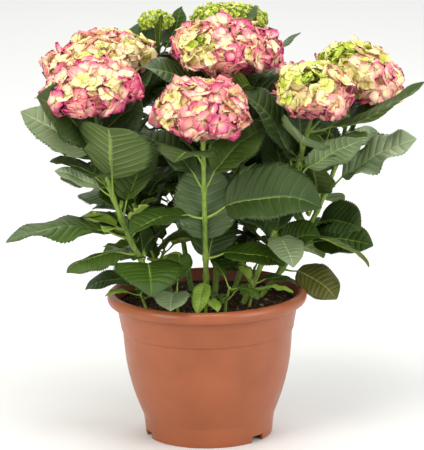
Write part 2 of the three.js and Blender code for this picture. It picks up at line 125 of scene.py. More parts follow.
# Soft boxes: [name, place, what it looks at, width, height, watts, colour]. The last lights the floor far
# behind.
softBoxes = [
    ["leftLight", (-1.9, -1.7, 1.5), (0, 0, 0.3), 1.4, 1.6, 43, "#fffaf2"],
    ["rightLight", (2.0, -1.4, 1.4), (0, 0, 0.3), 1.4, 1.6, 36, "#fbfbff"],
    ["topLight", (-0.2, -0.7, 2.6), (0, 0, 0.3), 1.5, 1.0, 30, "#ffffff"],
    ["rimLight", (0.6, 1.9, 2.3), (0, 0, 0.3), 1.6, 1.0, 28, "#ffffff"],
    ["floorLight", (0, 4.0, 2.6), (0, 4.0, 0), 4.5, 3.0, 60, "#ffffff"],
]
room = {"air": "#eef1f4", "airStrength": 0.8, "board": "#d9d8d4", "boardSize": 30, "boardRough": 0.85}


def setLights():
    for name, place, target, width, height, watts, colour in softBoxes:
        bpy.ops.object.light_add(type="AREA", location=place)
        light = bpy.context.object
        light.name = name
        light.data.shape = "RECTANGLE"
        light.data.size = width
        light.data.size_y = height
        light.data.energy = watts
        light.data.color = tint(colour)[:3]
        aim = Vector(target) - Vector(place)
        light.rotation_euler = aim.to_track_quat("-Z", "Y").to_euler()
    world = bpy.data.worlds.new("studio")
    world.use_nodes = True
    background = world.node_tree.nodes["Background"]
    background.inputs["Color"].default_value = tint(room["air"])
    background.inputs["Strength"].default_value = room["airStrength"]
    bpy.context.scene.world = world
    bpy.context.scene.view_settings.view_transform = "Standard"


def setFloor():
    bpy.ops.mesh.primitive_plane_add(size=room["boardSize"])
    floor = bpy.context.object
    floor.name = "floor"
    # Matt painted board, pale and even
    settings = {"Roughness": room["boardRough"]}
    material, tree, shader, place = newMaterial("paintedBoard", room["board"], settings)
    nap = addNode(tree, "ShaderNodeTexNoise", grain(4), {"Vector": place})
    setFinish(tree, shader, nap.outputs["Fac"], 0.2, 0.15)
    floor.data.materials.append(material)


bpy.ops.object.select_all(action="DESELECT")
setCamera()
setLights()
setFloor()


# Meshes made from arrays. A chunk is its points in millimetres, its faces' corners one after the other, how
# many corners each face has and the slot of each face's material.
def chunk(points, faces, slots):
    corners = np.fromiter((corner for face in faces for corner in face), dtype=np.int64)
    sizes = np.array([len(face) for face in faces])
    points = np.asarray(points, float)
    return {"points": points, "corners": corners, "sizes": sizes, "slots": np.asarray(slots)}


# The same faces with other points, and with slots counted on from the chunk's own
def reshaped(form, points, slots):
    return {**form, "points": points, "slots": form["slots"] + slots}


def joinChunks(name, chunks, materials, body="root"):
    counts = [len(c["points"]) for c in chunks]
    shifts = np.concatenate([[0], np.cumsum(counts)[:-1]])
    points = np.concatenate([c["points"] for c in chunks]) * mm
    corners = np.concatenate([c["corners"] + shift for c, shift in zip(chunks, shifts)])
    sizes = np.concatenate([c["sizes"] for c in chunks])
    used, slots = np.unique(np.concatenate([c["slots"] for c in chunks]), return_inverse=True)
    mesh = bpy.data.meshes.new(name)
    mesh.vertices.add(len(points))
    mesh.vertices.foreach_set("co", points.astype(np.float32).ravel())
    mesh.loops.add(len(corners))
    mesh.loops.foreach_set("vertex_index", corners.astype(np.int32))
    mesh.polygons.add(len(sizes))
    mesh.polygons.foreach_set("loop_start", np.concatenate([[0], np.cumsum(sizes)[:-1]]).astype(np.int32))
    mesh.polygons.foreach_set("material_index", slots.astype(np.int32))
    for slot in used:
        mesh.materials.append(materials[slot])
    mesh.update(calc_edges=True)
    mesh.validate()
    mesh.polygons.foreach_set("use_smooth", np.ones(len(mesh.polygons), bool))
    piece = bpy.data.objects.new(name, mesh)
    bpy.context.scene.collection.objects.link(piece)
    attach(piece, body)
    return piece


def unit(vector):
    return vector / np.linalg.norm(vector, axis=-1, keepdims=True)


# Directions that say where a tube's first ring starts. The second is for a tube that runs along the first.
ringHints = [(0.31, 0.22, 0.93), (1.0, 0.1, 0.0)]


# A round stalk along a line of points, closed at both ends
def tube(line, radii, sides, slot):
    line = np.asarray(line, float)
    along = unit(np.gradient(line, axis=0))
    aside = np.zeros_like(line)
    last = np.cross(along[0], ringHints[0])
    if np.linalg.norm(last) < 0.2:
        last = np.cross(along[0], ringHints[1])
    for i, ahead in enumerate(along):
        last = unit(last - ahead * (last @ ahead))
        aside[i] = last
    across = np.cross(along, aside)
    turns = np.arange(sides) / sides * 2 * math.pi
    radii = np.asarray(radii)[:, None, None]
    rings = (
        line[:, None]
        + aside[:, None] * (np.cos(turns)[None, :, None] * radii)
        + across[:, None] * (np.sin(turns)[None, :, None] * radii)
    )
    faces = []
    for r in range(len(line) - 1):
        for i in range(sides):
            j = (i + 1) % sides
            faces.append((r * sides + i, r * sides + j, (r + 1) * sides + j, (r + 1) * sides + i))
    faces.append(tuple(reversed(range(sides))))
    faces.append(tuple(range((len(line) - 1) * sides, len(line) * sides)))
    return chunk(rings.reshape(-1, 3), faces, np.full(len(faces), slot))


# A repeatable number from -1 to 1 for a whole number k, and one from 0 to 1
def vary(k):
    s = math.sin(k * 12.9898 + 4.1414) * 43758.5453
    return (s - math.floor(s)) * 2 - 1


def chance(k):
    return 0.5 + 0.5 * vary(k)


# Unit vector with a bearing in the ground plane (0 is +X, 90 is +Y) and a pitch above it, in degrees
def heading(bearing, pitch):
    turn, rise = np.radians(bearing), np.radians(pitch)
    level = np.cos(rise)
    return np.stack(np.broadcast_arrays(level * np.cos(turn), level * np.sin(turn), np.sin(rise)), axis=-1)


# Sizes of the growth rule, in millimetres and degrees
rule = {
    "soilTop": 188, "crownMiddle": (15, 45), "footSpread": 0.3, "bowSag": 0.3, "caneFootDepth": 10,
    "caneFootRadius": 4.2, "caneTipRadius": 2.7, "stalkShortest": 12, "stalkShare": 0.16, "stalkLift": 8,
    "leafLongest": 124, "leafWidth": 0.72, "leafDroop": 34, "leafFold": 14, "leafTurn": 46,
    "leavesPerCane": 40, "bearingScatter": 9, "pitchScatter": 5, "rollScatter": 6, "bladeScatter": 0.08,
    "pitchInwards": 32, "pitchOutwards": -16, "pitchInwardsRise": 20, "pitchOutwardsRise": 30,
    "leastLeaf": 0.7, "outwardGain": 0.07, "shootDepth": 4, "shootRadius": 2.4, "shootPitch": 74,
}

# The canes, front ones first, as the frame has them: the flower head's place and lean, its half width and
# its height above and below the widest place, the cane's bow, the shares of its length where leaf pairs sit
# and the bearing of the first pair. shown are the leaves whose place is plain to see, by pair and side: the
# bearing, pitch, blade length, roll, and droop if it isn't the usual one, then the colour, if that is plain
# too, and how the leaf is wider, more folded or wavier than the rest. leaning are leaves that rest on a
# flower head, written in the same way after the share of the cane's length where each starts. ripe says how
# far the florets have turned from lime to pink: on the whole, how much more to the right, upwards and towards
# the front, and how much they differ. limes are patches that stay green: direction from the head's middle,
# width and strength. twigs is the share of axils that a twig leaves.
# Where ripe's up is below nought, tops come out creamier and paler and lower sides pinker: partly the
# flowers' own colour, partly painted light from above.
canes = [
    {
        "name": "centre_front", "head": (-2, -95, 474), "lean": 14, "toward": 270,
        "radius": 66, "crown": 44, "belly": 26, "bow": 0.1, "turn": 75,
        "nodes": [0.2, 0.31, 0.53, 0.68, 0.82, 0.94],
        "shown": {
            (0, 1): ([262, -30, 60, 0], "young", {"wide": 0.6}), (1, 0): ([347, -8, 90, 14], "olive", {}),
            (1, 1): ([100, 78, 108, 0], "greyPaintedSheen", {"wide": 1.2}),
            (2, 0): ([343, 6, 140, 50], "deep", {"fold": 10}), (2, 1): ([194, -8, 94, -6], "olive", {}),
            (3, 0): ([20, 34, 104, 24], "mid", {}), (3, 1): ([166, 34, 96, -16], "deep", {}),
            (5, 0): ([330, 6, 40, 0], "pale", {}),
        },
        "ripe": {"base": 0.84, "right": 0.16, "up": -0.12, "front": 0.0, "spread": 0.34},
        "limes": [(-0.75, -0.6, -0.1, 0.35, 0.3), (0.1, -0.8, -0.4, 0.3, 0.3)],
        "twigs": 0,
    },
    {
        "name": "front_left", "head": (-152, -65, 498), "lean": 10, "toward": 225,
        "radius": 72, "crown": 42, "belly": 19, "bow": 0.38, "turn": 185,
        "nodes": [0.16, 0.24, 0.31, 0.39, 0.48, 0.59, 0.72, 0.84],
        "shown": {
            (0, 0): ([184, -8, 76, -14], "olive", {}), (0, 1): ([16, 36, 40, 10], "young", {}),
            (1, 0): ([276, -6, 122, 0, 44], "olive", {"wide": 1.1}), (1, 1): ([100, 30, 60, 0], None, {}),
            (2, 0): ([202, -12, 84, -10], "mid", {"wide": 0.8, "fold": -34}),
            (2, 1): ([150, 24, 64, 0], "greyPaintedSheen", {}),
            (3, 0): ([187, -3, 142, -6], "mid", {"fold": -8, "wide": 0.9}),
            (3, 1): ([30, 20, 60, 10], "mid", {}), (4, 0): ([46, 44, 98, 0], "mid", {"wide": 1.1}),
            (4, 1): ([80, 20, 80, 0], None, {}),
            (5, 0): ([168, 21, 68, -30, 10], "paintedLitSilver", {"wide": 0.5}),
            (5, 1): ([269, 50, 118, -20, 10], "deep", {"wide": 1.4, "fold": 12}),
            (6, 0): ([167, 28, 112, -50, 16], "pale", {"wide": 0.66}),
            (6, 1): ([16, 54, 88, 45], "greyPaintedSheen", {}),
            (7, 0): ([192, 38, 56, -60, 10], "deep", {"wide": 1.25}),
            (7, 1): ([10, 34, 50, 40], "deep", {}),
        },
        "leaning": [(0.79, [216, 41, 108, -62, 12], "deep", {"wide": 1.15})],
        "ripe": {"base": 0.92, "right": 0.1, "up": -0.2, "front": 0.04, "spread": 0.32},
        "limes": [(-0.15, -0.9, 0.35, 0.26, 0.4), (-0.8, -0.5, 0.3, 0.3, 0.3)],
        "twigs": 0.3,
    },
    {
        "name": "right_front", "head": (150, -52, 489), "lean": 16, "toward": 290,
        "radius": 54, "crown": 45, "belly": 30, "bow": 0.16, "turn": 0,
        "nodes": [0.14, 0.27, 0.4, 0.54, 0.68, 0.8, 0.91],
        "shown": {
            (0, 0): ([24, -10, 48, 10], "olive", {}), (1, 0): ([325, 10, 80, 48], "olive", {}),
            (2, 0): ([300, -34, 70, 0], "pale", {}), (2, 1): ([350, -12, 116, -12], "mid", {"wide": 0.8}),
            (3, 0): ([262, -20, 56, 0], "deep", {}),
            (4, 0): ([336, 31, 92, -50, 6], "greyPaintedSheen", {"wide": 0.7}),
            (4, 1): ([190, 56, 116, -30], "deep", {}),
            (6, 0): ([354, 28, 142, 4, -44], "olive", {"wide": 0.55}),
        },
        "ripe": {"base": 0.68, "right": 0.16, "up": -0.42, "front": 0.0, "spread": 0.24},
        "limes": [(-0.3, -0.7, 0.45, 0.5, 0.4)],
        "twigs": 0.3,
    },
    {
        "name": "right_back", "head": (218, 70, 491), "lean": 26, "toward": 0,
        "radius": 68, "crown": 48, "belly": 30, "bow": 0.38, "turn": 330,
        "nodes": [0.18, 0.28, 0.38, 0.47, 0.56, 0.68, 0.8, 0.92],
        "shown": {
            (0, 0): ([332, -28, 72, 36], "bronze", {}),
            (1, 0): ([345, 0, 90, 42], "olive", {"wide": 0.85}),
            (2, 0): ([312, 4, 84, 40], "deep", {"wide": 1.1}), (3, 1): ([110, 10, 70, 0], "mid", {}),
            (4, 0): ([350, 30, 120, 24, 10], "paintedLitSilver", {"wide": 0.85, "wave": 1.8}),
            (4, 1): ([120, 60, 96, 0], None, {}), (5, 0): ([345, 36, 62, -50], "paintedLitSilver", {"wide": 0.8}),
            (6, 0): ([338, 30, 78, 38], "mid", {"wave": 1.6}), (6, 1): ([70, 24, 84, 0], "deep", {}),
        },
        "ripe": {"base": 0.66, "right": 0.26, "up": -0.4, "front": 0.0, "spread": 0.28},
        "limes": [(-0.6, -0.3, 0.7, 0.6, 0.35)],
        "twigs": 0.3,
    },
    {
        "name": "back_left", "head": (-147, 105, 511), "lean": 12, "toward": 165,
        "radius": 82, "crown": 42, "belly": 26, "bow": 0.26, "turn": 130,
        "nodes": [0.18, 0.29, 0.4, 0.5, 0.6, 0.7, 0.8, 0.92],
        "shown": {
            (7, 0): ([188, -10, 98, -10], "pale", {}), (6, 0): ([350, 48, 84, 40], "greyPaintedSheen", {}),
            (7, 1): ([8, 8, 96, 20, -10], "olive", {}),
        },
        "ripe": {"base": 0.62, "right": -0.06, "up": 0.02, "front": 0.0, "spread": 0.32},
        "limes": [(-0.2, -0.75, 0.5, 0.35, 0.35)],
        "twigs": 0.75,
    },
    {
        "name": "top_centre", "head": (32, 48, 535), "lean": 4, "toward": 300,
        "radius": 82, "crown": 41, "belly": 28, "bow": 0.1, "turn": 20,
        "nodes": [0.24, 0.36, 0.48, 0.58, 0.68, 0.77, 0.86, 0.93],
        "shown": {
            (6, 0): ([336, 4, 104, 40], "deep", {}), (7, 0): ([186, 8, 96, -30, -20], "deep", {}),
            (7, 1): ([100, 8, 100, 0, -10], "mid", {}),
        },
        "ripe": {"base": 0.82, "right": 0.12, "up": -0.08, "front": 0.0, "spread": 0.3},
        "limes": [(-0.55, -0.8, 0.3, 0.4, 0.5)],
        "twigs": 0.8,
    },
    {
        "name": "top_back", "head": (37, 200, 555), "lean": 8, "toward": 80,
        "radius": 56, "crown": 23, "belly": 16, "tight": True, "bow": 0.2, "turn": 60,
        "nodes": [0.22, 0.33, 0.44, 0.55, 0.65, 0.75, 0.85, 0.94],
        "shown": {
            (6, 0): ([34, 18, 112, 6, -16], "greyPaintedSheen", {"wide": 0.28}), (7, 0): ([60, 30, 60, 0], None, {}),
            (7, 1): ([338, 30, 50, 20], "olive", {}),
        },
        "leaning": [(0.85, [304, 43, 98, 30, 50], "olive", {"wide": 1.15})],
        "ripe": {"base": 0.05, "right": 0.0, "up": 0.05, "front": 0.0, "spread": 0.09},
        "twigs": 0.8,
    },
    {
        "name": "small_back", "head": (-68, 182, 556), "lean": 8, "toward": 120,
        "radius": 23, "crown": 15, "belly": 11, "tight": True, "bow": 0.16, "turn": 100,
        "nodes": [0.24, 0.34, 0.45, 0.56, 0.67, 0.78, 0.88],
        "shown": {
            (5, 1): ([80, 50, 40, 10], "deep", {"wide": 0.8}),
            (6, 0): ([145, 28, 56, -40], "deep", {"wide": 1.25}),
            (6, 1): ([38, 61, 66, 0, -20], "olive", {}),
        },
        "leaning": [(0.88, [275, 62, 60, 50], "olive", {"wide": 0.45})],
        "ripe": {"base": 0.03, "right": 0.0, "up": 0.03, "front": 0.0, "spread": 0.07},
        "twigs": 0.8,
    },
    {
        "name": "back_right", "head": (112, 168, 458), "lean": 20, "toward": 50,
        "radius": 60, "crown": 38, "belly": 24, "bow": 0.24, "turn": 40,
        "nodes": [0.22, 0.34, 0.46, 0.57, 0.68, 0.79, 0.9],
        "shown": {},
        "ripe": {"base": 0.72, "right": 0.0, "up": -0.15, "front": 0.0, "spread": 0.3},
        "twigs": 0.75,
    },
]

# Short shoots from the soil: foot x, foot y, height, bearing of the top pair, blade length, and the colour
# and width of the leaves
shoots = [
    (-40, -62, 38, 262, 64, "pale", 1.15), (-2, -62, 30, 275, 30, "young", 0.9),
    (24, -66, 44, 310, 46, "olive", 0.6), (58, -40, 34, 340, 40, "young", 0.8),
    (-58, 14, 90, 195, 48, "young", 1.0), (-84, -50, 30, 188, 34, "young", 1.0),
]


def blendTo(a, b, share):
    return a + (b - a) * share


# A cane's line from its foot to the underside of its flower head, bowed outwards
def caneFrame(cane):
    head = np.array(cane["head"], float)
    footHeight = rule["soilTop"] - rule["caneFootDepth"]
    foot = np.array([head[0] * rule["footSpread"], head[1] * rule["footSpread"], footHeight])
    axis = heading(cane["toward"], 90 - cane["lean"])
    neck = head - axis * cane["belly"]
    out = (neck - foot) * (1, 1, 0)
    middle = blendTo(foot, neck, 0.5) + out * cane["bow"]
    middle[2] -= np.linalg.norm(out) * cane["bow"] * rule["bowSag"]
    bearing = math.degrees(math.atan2(head[1] - rule["crownMiddle"][1], head[0] - rule["crownMiddle"][0]))

    def point(share):
        share = np.asarray(share)[..., None]
        return (1 - share) ** 2 * foot + 2 * (1 - share) * share * middle + share ** 2 * neck

    return {"head": head, "foot": foot, "axis": axis, "neck": neck, "bearing": bearing, "point": point}


# The leaf that the rule gives to a pair and side: [bearing, pitch, blade length, roll]
def ruledLeaf(cane, bearingOut, pair, side, k):
    share = cane["nodes"][pair]
    bearing = cane["turn"] + 90 * pair + 180 * side + rule["bearingScatter"] * vary(k)
    outward = math.cos(math.radians(bearing - bearingOut))
    inwards = rule["pitchInwards"] + rule["pitchInwardsRise"] * share
    outwards = rule["pitchOutwards"] + rule["pitchOutwardsRise"] * share
    pitch = blendTo(inwards, outwards, (1 + outward) / 2) + rule["pitchScatter"] * vary(k + 100)
    size = rule["leastLeaf"] + (1 - rule["leastLeaf"]) * math.sin(math.pi * share ** 0.8)
    gain = 1 - rule["outwardGain"] + rule["outwardGain"] * outward
    blade = rule["leafLongest"] * size * gain * (1 + rule["bladeScatter"] * vary(k + 300))
    aside = math.sin(math.radians(bearing - bearingOut))
    return [bearing, pitch, blade, rule["leafTurn"] * aside + rule["rollScatter"] * vary(k + 200)]


# A leaf is [bearing, pitch, blade length, roll, and droop if it isn't the usual one]
def droopOf(leaf):
    return leaf[4] if len(leaf) > 4 else rule["leafDroop"]


# The base of a leaf's blade, and its midrib: points, directions across the blade and its normals
def leafBase(root, leaf):
    bearing, pitch, blade = leaf[:3]
    stalk = heading(bearing, pitch + droopOf(leaf) / 2 + rule["stalkLift"])
    return root + stalk * (rule["stalkShortest"] + blade * rule["stalkShare"])


def leafLine(root, leaf, shares, twist=0.0):
    bearing, pitch, blade, roll = leaf[:4]
    droop = droopOf(leaf)
    shares = np.asarray(shares, float)
    rise = pitch + droop / 2
    start, angle = math.radians(rise), np.radians(rise - droop * shares)
    reach = blade / math.radians(droop)
    along = (math.sin(start) - np.sin(angle)) * reach
    up = (np.cos(angle) - math.cos(start)) * reach
    points = leafBase(root, leaf) + heading(bearing, 0) * along[..., None]
    points[..., 2] += up
    level = heading(bearing + 90, 0)
    upright = heading(bearing, rise - droop * shares + 90)
    turn = np.radians(roll + twist * shares)[..., None]
    side = level * np.cos(turn) + upright * np.sin(turn)
    normal = upright * np.cos(turn) - level * np.sin(turn)
    return points, side, normal


# The turns, lifts and sizes that a leaf tries one after the other. The one that grew is the one whose tip is
# within so many millimetres of one of the frame's.
leafTries = [
    (0, 0), (0, 10), (0, -10), (14, 0), (-14, 0), (14, 12), (-14, 12), (14, -12), (-14, -12),
    (28, 0), (-28, 0), (28, 16), (-28, 16), (40, -10), (-40, -10),
]
leafSizes = (1, 0.82, 0.66)
tipMatch = 0.3


def grownLeaf(root, leaf, corners):
    for size in leafSizes:
        for turn, lift in leafTries:
            tried = [leaf[0] + turn, leaf[1] + lift, leaf[2] * size] + leaf[3:]
            tip = leafLine(root, tried, [1.0])[0][0]
            if np.min(np.abs(corners - tip).max(axis=1)) < tipMatch:
                return tried
    return None


def cornersOf(node):
    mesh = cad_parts[node].data
    corners = np.empty(len(mesh.vertices) * 3, np.float32)
    mesh.vertices.foreach_get("co", corners)
    return corners.reshape(-1, 3).astype(float) / mm


print("materials")

# Leaf colours: the blade and its veins from above, then both from below
leafTints = {
    "deep": ["#34481b", "#4c622d", "#566a34", "#86995a"],
    "mid": ["#445c1c", "#617a35", "#657c3a", "#90a45f"],
    "olive": ["#304808", "#476112", "#536820", "#829744"],
    "bronze": ["#55561e", "#767832", "#737038", "#a09e5c"],
    # The grey tint is the leaf's own green with painted sheen: greyer and paler, as a blade lit from above
    # shows
    "greyPaintedSheen": ["#4e623a", "#748a58", "#6e8254", "#9cae7e"],
    "pale": ["#788960", "#a2ae88", "#909f74", "#bac49c"],
    # The silver tint is a lightened copy of the grey-green, painted light for leaves that sit in the shade of
    # heads and upper leaves
    "paintedLitSilver": ["#93a57c", "#bac8a0", "#a6b78e", "#cfdab8"],
    "young": ["#829e36", "#a8be5e", "#9fb556", "#c8d684"],
}
# The skin is satin, duller below, with a fine net of veins
leafFinish = {
    "cloud": 9, "rough": (0.36, 0.56), "duller": 0.14, "net": 2.6, "netEdge": 0.18, "grain": 0.7,
    "grainShare": 0.4, "depth": 0.25, "strength": 0.5,
}


def leafMaterial(name, colour, under=False):
    settings = {"IOR": 1.45, "Specular IOR Level": 0.38}
    material, tree, shader, place = newMaterial(name, colour, settings)
    cloud = addNode(tree, "ShaderNodeTexNoise", grain(leafFinish["cloud"]), {"Vector": place})
    settings = {"Scale": 1 / (leafFinish["net"] * mm), "feature": "DISTANCE_TO_EDGE"}
    net = addNode(tree, "ShaderNodeTexVoronoi", settings, {"Vector": place})
    fine = addNode(tree, "ShaderNodeTexNoise", grain(leafFinish["grain"]), {"Vector": place})
    netHeight = addNode(tree, "ShaderNodeMapRange", between(0, 1, 0, leafFinish["netEdge"]),
                        {"Value": net.outputs["Distance"]})
    fineHeight = addNode(tree, "ShaderNodeMapRange", between(0, leafFinish["grainShare"]),
                         {"Value": fine.outputs["Fac"]})
    height = addNode(tree, "ShaderNodeMath", {"operation": "ADD"},
                     {0: netHeight.outputs["Result"], 1: fineHeight.outputs["Result"]})
    rough = [value + (leafFinish["duller"] if under else 0.0) for value in leafFinish["rough"]]
    setFinish(tree, shader, height.outputs["Value"], leafFinish["depth"], leafFinish["strength"],
              cloud.outputs["Fac"], rough)
    return material


leafMaterials = []
leafSlot = {}
for tintName, colours in leafTints.items():
    leafSlot[tintName] = len(leafMaterials)
    for part, colour in zip(("Blade", "Vein", "Under", "UnderVein"), colours):
        leafMaterials.append(leafMaterial(tintName + "Leaf" + part, colour, part.startswith("Under")))
stalkSlot, stemSlot = len(leafMaterials), len(leafMaterials) + 1
leafMaterials += [leafMaterial("leafStalkSkin", "#93ad4e"), leafMaterial("youngStemSkin", "#86a23e")]

# Sepals: from lime through cream to pink and a deep rose edge, then two dustier pinks. Velvety and thin, so a
# little light softens in them.
sepalTints = [
    "#aabf3c", "#c8d45c", "#e2de84", "#f8ec9e", "#fde8b4", "#fbd4ae", "#f6b2a8", "#f29098", "#ea7090",
    "#de5886", "#ca4a7e",
]
dustyTints = ["#eea698", "#e48a8c"]
dustyFrom = 7
sepalFinish = {"cloud": 4, "rough": (0.5, 0.68), "grain": 0.9, "depth": 0.3, "strength": 0.35, "glow": 2}


def sepalMaterial(name, colour):
    settings = {"IOR": 1.4, "Specular IOR Level": 0.3, "Subsurface Weight": 0.2,
                "Subsurface Radius": (1.0, 0.7, 0.5), "Subsurface Scale": sepalFinish["glow"] * mm}
    material, tree, shader, place = newMaterial(name, colour, settings)
    cloud = addNode(tree, "ShaderNodeTexNoise", grain(sepalFinish["cloud"]), {"Vector": place})
    velvet = addNode(tree, "ShaderNodeTexNoise", grain(sepalFinish["grain"], 4), {"Vector": place})
    setFinish(tree, shader, velvet.outputs["Fac"], sepalFinish["depth"], sepalFinish["strength"],
              cloud.outputs["Fac"], sepalFinish["rough"])
    return material


sepalMaterials = [sepalMaterial("sepal%02d" % i, colour) for i, colour in enumerate(sepalTints)]
dustySlot = len(sepalMaterials)
sepalMaterials += [sepalMaterial("sepalDusty%d" % i, colour) for i, colour in enumerate(dustyTints)]
eyeSlot, budSlot, pedicelSlot = range(len(sepalMaterials), len(sepalMaterials) + 3)
for name, colour in (("floretEye", "#dfe39a"), ("floretBud", "#9fb648"), ("floretStalk", "#a9b765")):
    sepalMaterials.append(sepalMaterial(name, colour))

caneFinish = {
    "greens": [(0.32, "#5f7d2c"), (0.68, "#94b049")], "streak": 2.2, "streakStretch": (1, 1, 0.12),
    "spotColour": "#7a5a36", "spot": 5.5, "spotStretch": (1, 1, 0.45), "spotEdge": (0.10, 0.16),
    "rough": (0.42, 0.62), "depth": 0.5, "strength": 0.5,
}


# Cane skin: green and half woody, streaked along its length, with small brown breathing spots
def caneMaterial():
    material, tree, shader, place = newMaterial("caneSkin", "#7c9a3c", {"IOR": 1.45})
    along = addNode(tree, "ShaderNodeMapping", {"Scale": caneFinish["streakStretch"]}, {"Vector": place})
    streak = addNode(tree, "ShaderNodeTexNoise", grain(caneFinish["streak"], 5),
                     {"Vector": along.outputs["Vector"]}).outputs["Fac"]
    greens = addNode(tree, "ShaderNodeValToRGB", {"stops": caneFinish["greens"]}, {"Fac": streak})
    stops = addNode(tree, "ShaderNodeMapping", {"Scale": caneFinish["spotStretch"]}, {"Vector": place})
    settings = {"Scale": 1 / (caneFinish["spot"] * mm), "Randomness": 1.0}
    spots = addNode(tree, "ShaderNodeTexVoronoi", settings, {"Vector": stops.outputs["Vector"]})
    isSpot = addNode(tree, "ShaderNodeMapRange", between(1, 0, *caneFinish["spotEdge"]),
                     {"Value": spots.outputs["Distance"]})
    mix = addNode(tree, "ShaderNodeMix", {"data_type": "RGBA", 7: tint(caneFinish["spotColour"])},
                  {"Factor": isSpot.outputs["Result"], 6: greens.outputs["Color"]})
    tree.links.new(mix.outputs[2], shader.inputs["Base Color"])
    setFinish(tree, shader, streak, caneFinish["depth"], caneFinish["strength"], streak, caneFinish["rough"])
    return material


print("pot")

# Outline of the pot's skin as radius and height, from the recess under its floor, over its foot, up its
# outside, over the rolled rim and down inside to its floor
pot = {
    "sides": 96, "smoothAngle": 40,
    "foot": [
        (84, 8.5), (85.2, 1.2), (86, 0.3), (86.8, 0), (88, 0), (88.7, 0.4), (89, 1.4), (89.4, 6), (90.6, 16),
        (91.6, 25), (92, 27.6),
    ],
    "bulge": [
        (92.4, 29), (93.4, 31.5), (95, 35.8), (98.6, 45), (103.6, 59), (108.4, 75), (112.4, 92), (115.3, 109),
        (117.1, 126), (118.2, 140), (118.6, 148),
    ],
    "step": [(118.7, 149.4), (118.9, 150.2), (119.6, 150.8), (120.4, 151.3), (120.8, 152.2)],
    "band": [(121.7, 158), (123.4, 167), (125, 176), (126.4, 184.5), (126.9, 186.2)],
    "rim": [
        (128.4, 186.9), (132.4, 187.1), (135.2, 187.9), (137.6, 189.8), (139.1, 192.4), (139.7, 195.6),
        (139.2, 199), (137.6, 202), (135, 204.1), (132.6, 204.9), (130.6, 204.6), (129.4, 203.4),
        (128.8, 201.2), (128.2, 196),
    ],
    "inside": [
        (126.4, 188), (123.6, 176), (118.6, 157), (116, 149), (114.8, 130), (110.6, 100), (104.8, 76),
        (97.6, 55), (90.5, 38), (87.6, 26), (87, 13),
    ],
    "notches": {"bearings": (-41, 79, 199), "out": 89, "width": 22, "height": 9, "depth": 9, "bevel": 2},
}


def selectOnly(piece):
    bpy.ops.object.select_all(action="DESELECT")
    piece.select_set(True)
    bpy.context.view_layer.objects.active = piece


def applyModifier(piece, kind, settings):
    modifier = piece.modifiers.new(kind.lower(), kind)
    for key, value in settings.items():
        setattr(modifier, key, value)
    selectOnly(piece)
    bpy.ops.object.modifier_apply(modifier=modifier.name)


# Soft lumps, so many millimetres across and high
def raiseLumps(piece, cell, height, settings):
    clouds = bpy.data.textures.new("lumps", "CLOUDS")
    clouds.noise_scale = cell * mm
    clouds.noise_depth = 2
    settings = {"texture": clouds, "strength": height * mm, "mid_level": 0.5, **settings}
    applyModifier(piece, "DISPLACE", settings)


def finishPiece(piece, name, nodes):
    piece.name = name
    piece.data.name = name
    selectOnly(piece)
    bpy.ops.object.transform_apply(location=True, rotation=True, scale=True)
    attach(piece, "root")
    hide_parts(*nodes)


# Polypropylene, moulded in one shot and tinted terracotta: a satin skin, faintly pebbled, a little duller
# where hands and soil have rubbed it
def potMaterial():
    material, tree, shader, place = newMaterial("mouldedPolypropylene", "#98522d", {"IOR": 1.49})
    cloud = addNode(tree, "ShaderNodeTexNoise", grain(60, 4), {"Vector": place})
    settings = {"stops": [(0.3, "#924d2a"), (0.7, "#a05731")]}
    browns = addNode(tree, "ShaderNodeValToRGB", settings, {"Fac": cloud.outputs["Fac"]})
    tree.links.new(browns.outputs["Color"], shader.inputs["Base Color"])
    smudge = addNode(tree, "ShaderNodeTexNoise", grain(22, 5, 0.6), {"Vector": place})
    pebble = addNode(tree, "ShaderNodeTexNoise", grain(1.6), {"Vector": place})
    setFinish(tree, shader, pebble.outputs["Fac"], 0.12, 0.35, smudge.outputs["Fac"], (0.3, 0.42))
    return material


def makePot():
    outline = [ring for part in ("foot", "bulge", "step", "band", "rim", "inside") for ring in pot[part]]
    radius, height = outline[0]
    bpy.ops.mesh.primitive_circle_add(vertices=pot["sides"], radius=radius * mm, fill_type="NGON",
                                      location=(0, 0, height * mm))
    piece = bpy.context.object
    bpy.ops.object.mode_set(mode="EDIT")
    bpy.ops.mesh.select_all(action="SELECT")
    for nextRadius, nextHeight in outline[1:]:
        bpy.ops.mesh.extrude_region_move(TRANSFORM_OT_translate={"value": (0, 0, (nextHeight - height) * mm)})
        grow = nextRadius / radius
        bpy.ops.transform.resize(value=(grow, grow, 1), center_override=(0, 0, nextHeight * mm))
        radius, height = nextRadius, nextHeight
    bpy.ops.mesh.select_all(action="SELECT")
    bpy.ops.mesh.normals_make_consistent(inside=False)
    bpy.ops.object.mode_set(mode="OBJECT")
    notch = pot["notches"]
    for bearing in notch["bearings"]:
        bpy.ops.mesh.primitive_cube_add(size=1, location=(0, 0, 0))
        cutter = bpy.context.object
        cutter.scale = (notch["depth"] * 2 * mm, notch["width"] * mm, notch["height"] * 2 * mm)
        turn = math.radians(bearing)
        cutter.rotation_euler = (0, 0, turn)
        cutter.location = (notch["out"] * mm * math.cos(turn), notch["out"] * mm * math.sin(turn), 0)
        applyModifier(cutter, "BEVEL", {"width": notch["bevel"] * mm, "segments": 3})
        applyModifier(piece, "BOOLEAN", {"object": cutter, "operation": "DIFFERENCE", "solver": "EXACT"})
        bpy.data.objects.remove(cutter)
    piece.data.materials.append(potMaterial())
    selectOnly(piece)
    bpy.ops.object.shade_smooth_by_angle(angle=math.radians(pot["smoothAngle"]))
    finishPiece(piece, "plastic_pot", ["pot"])


makePot()

print("compost")

# The surface is cut into rings, and lumps of so many millimetres across and high raise it. Further down the
# sides narrow with the pot.
compost = {
    "radius": 121.5, "top": 188, "depth": 150, "rings": 24, "sides": 72, "margin": 2, "narrowBelow": 20,
    "narrow": 0.76, "lumps": [(26, 7.0), (8, 4.0), (3.5, 1.8)],
}


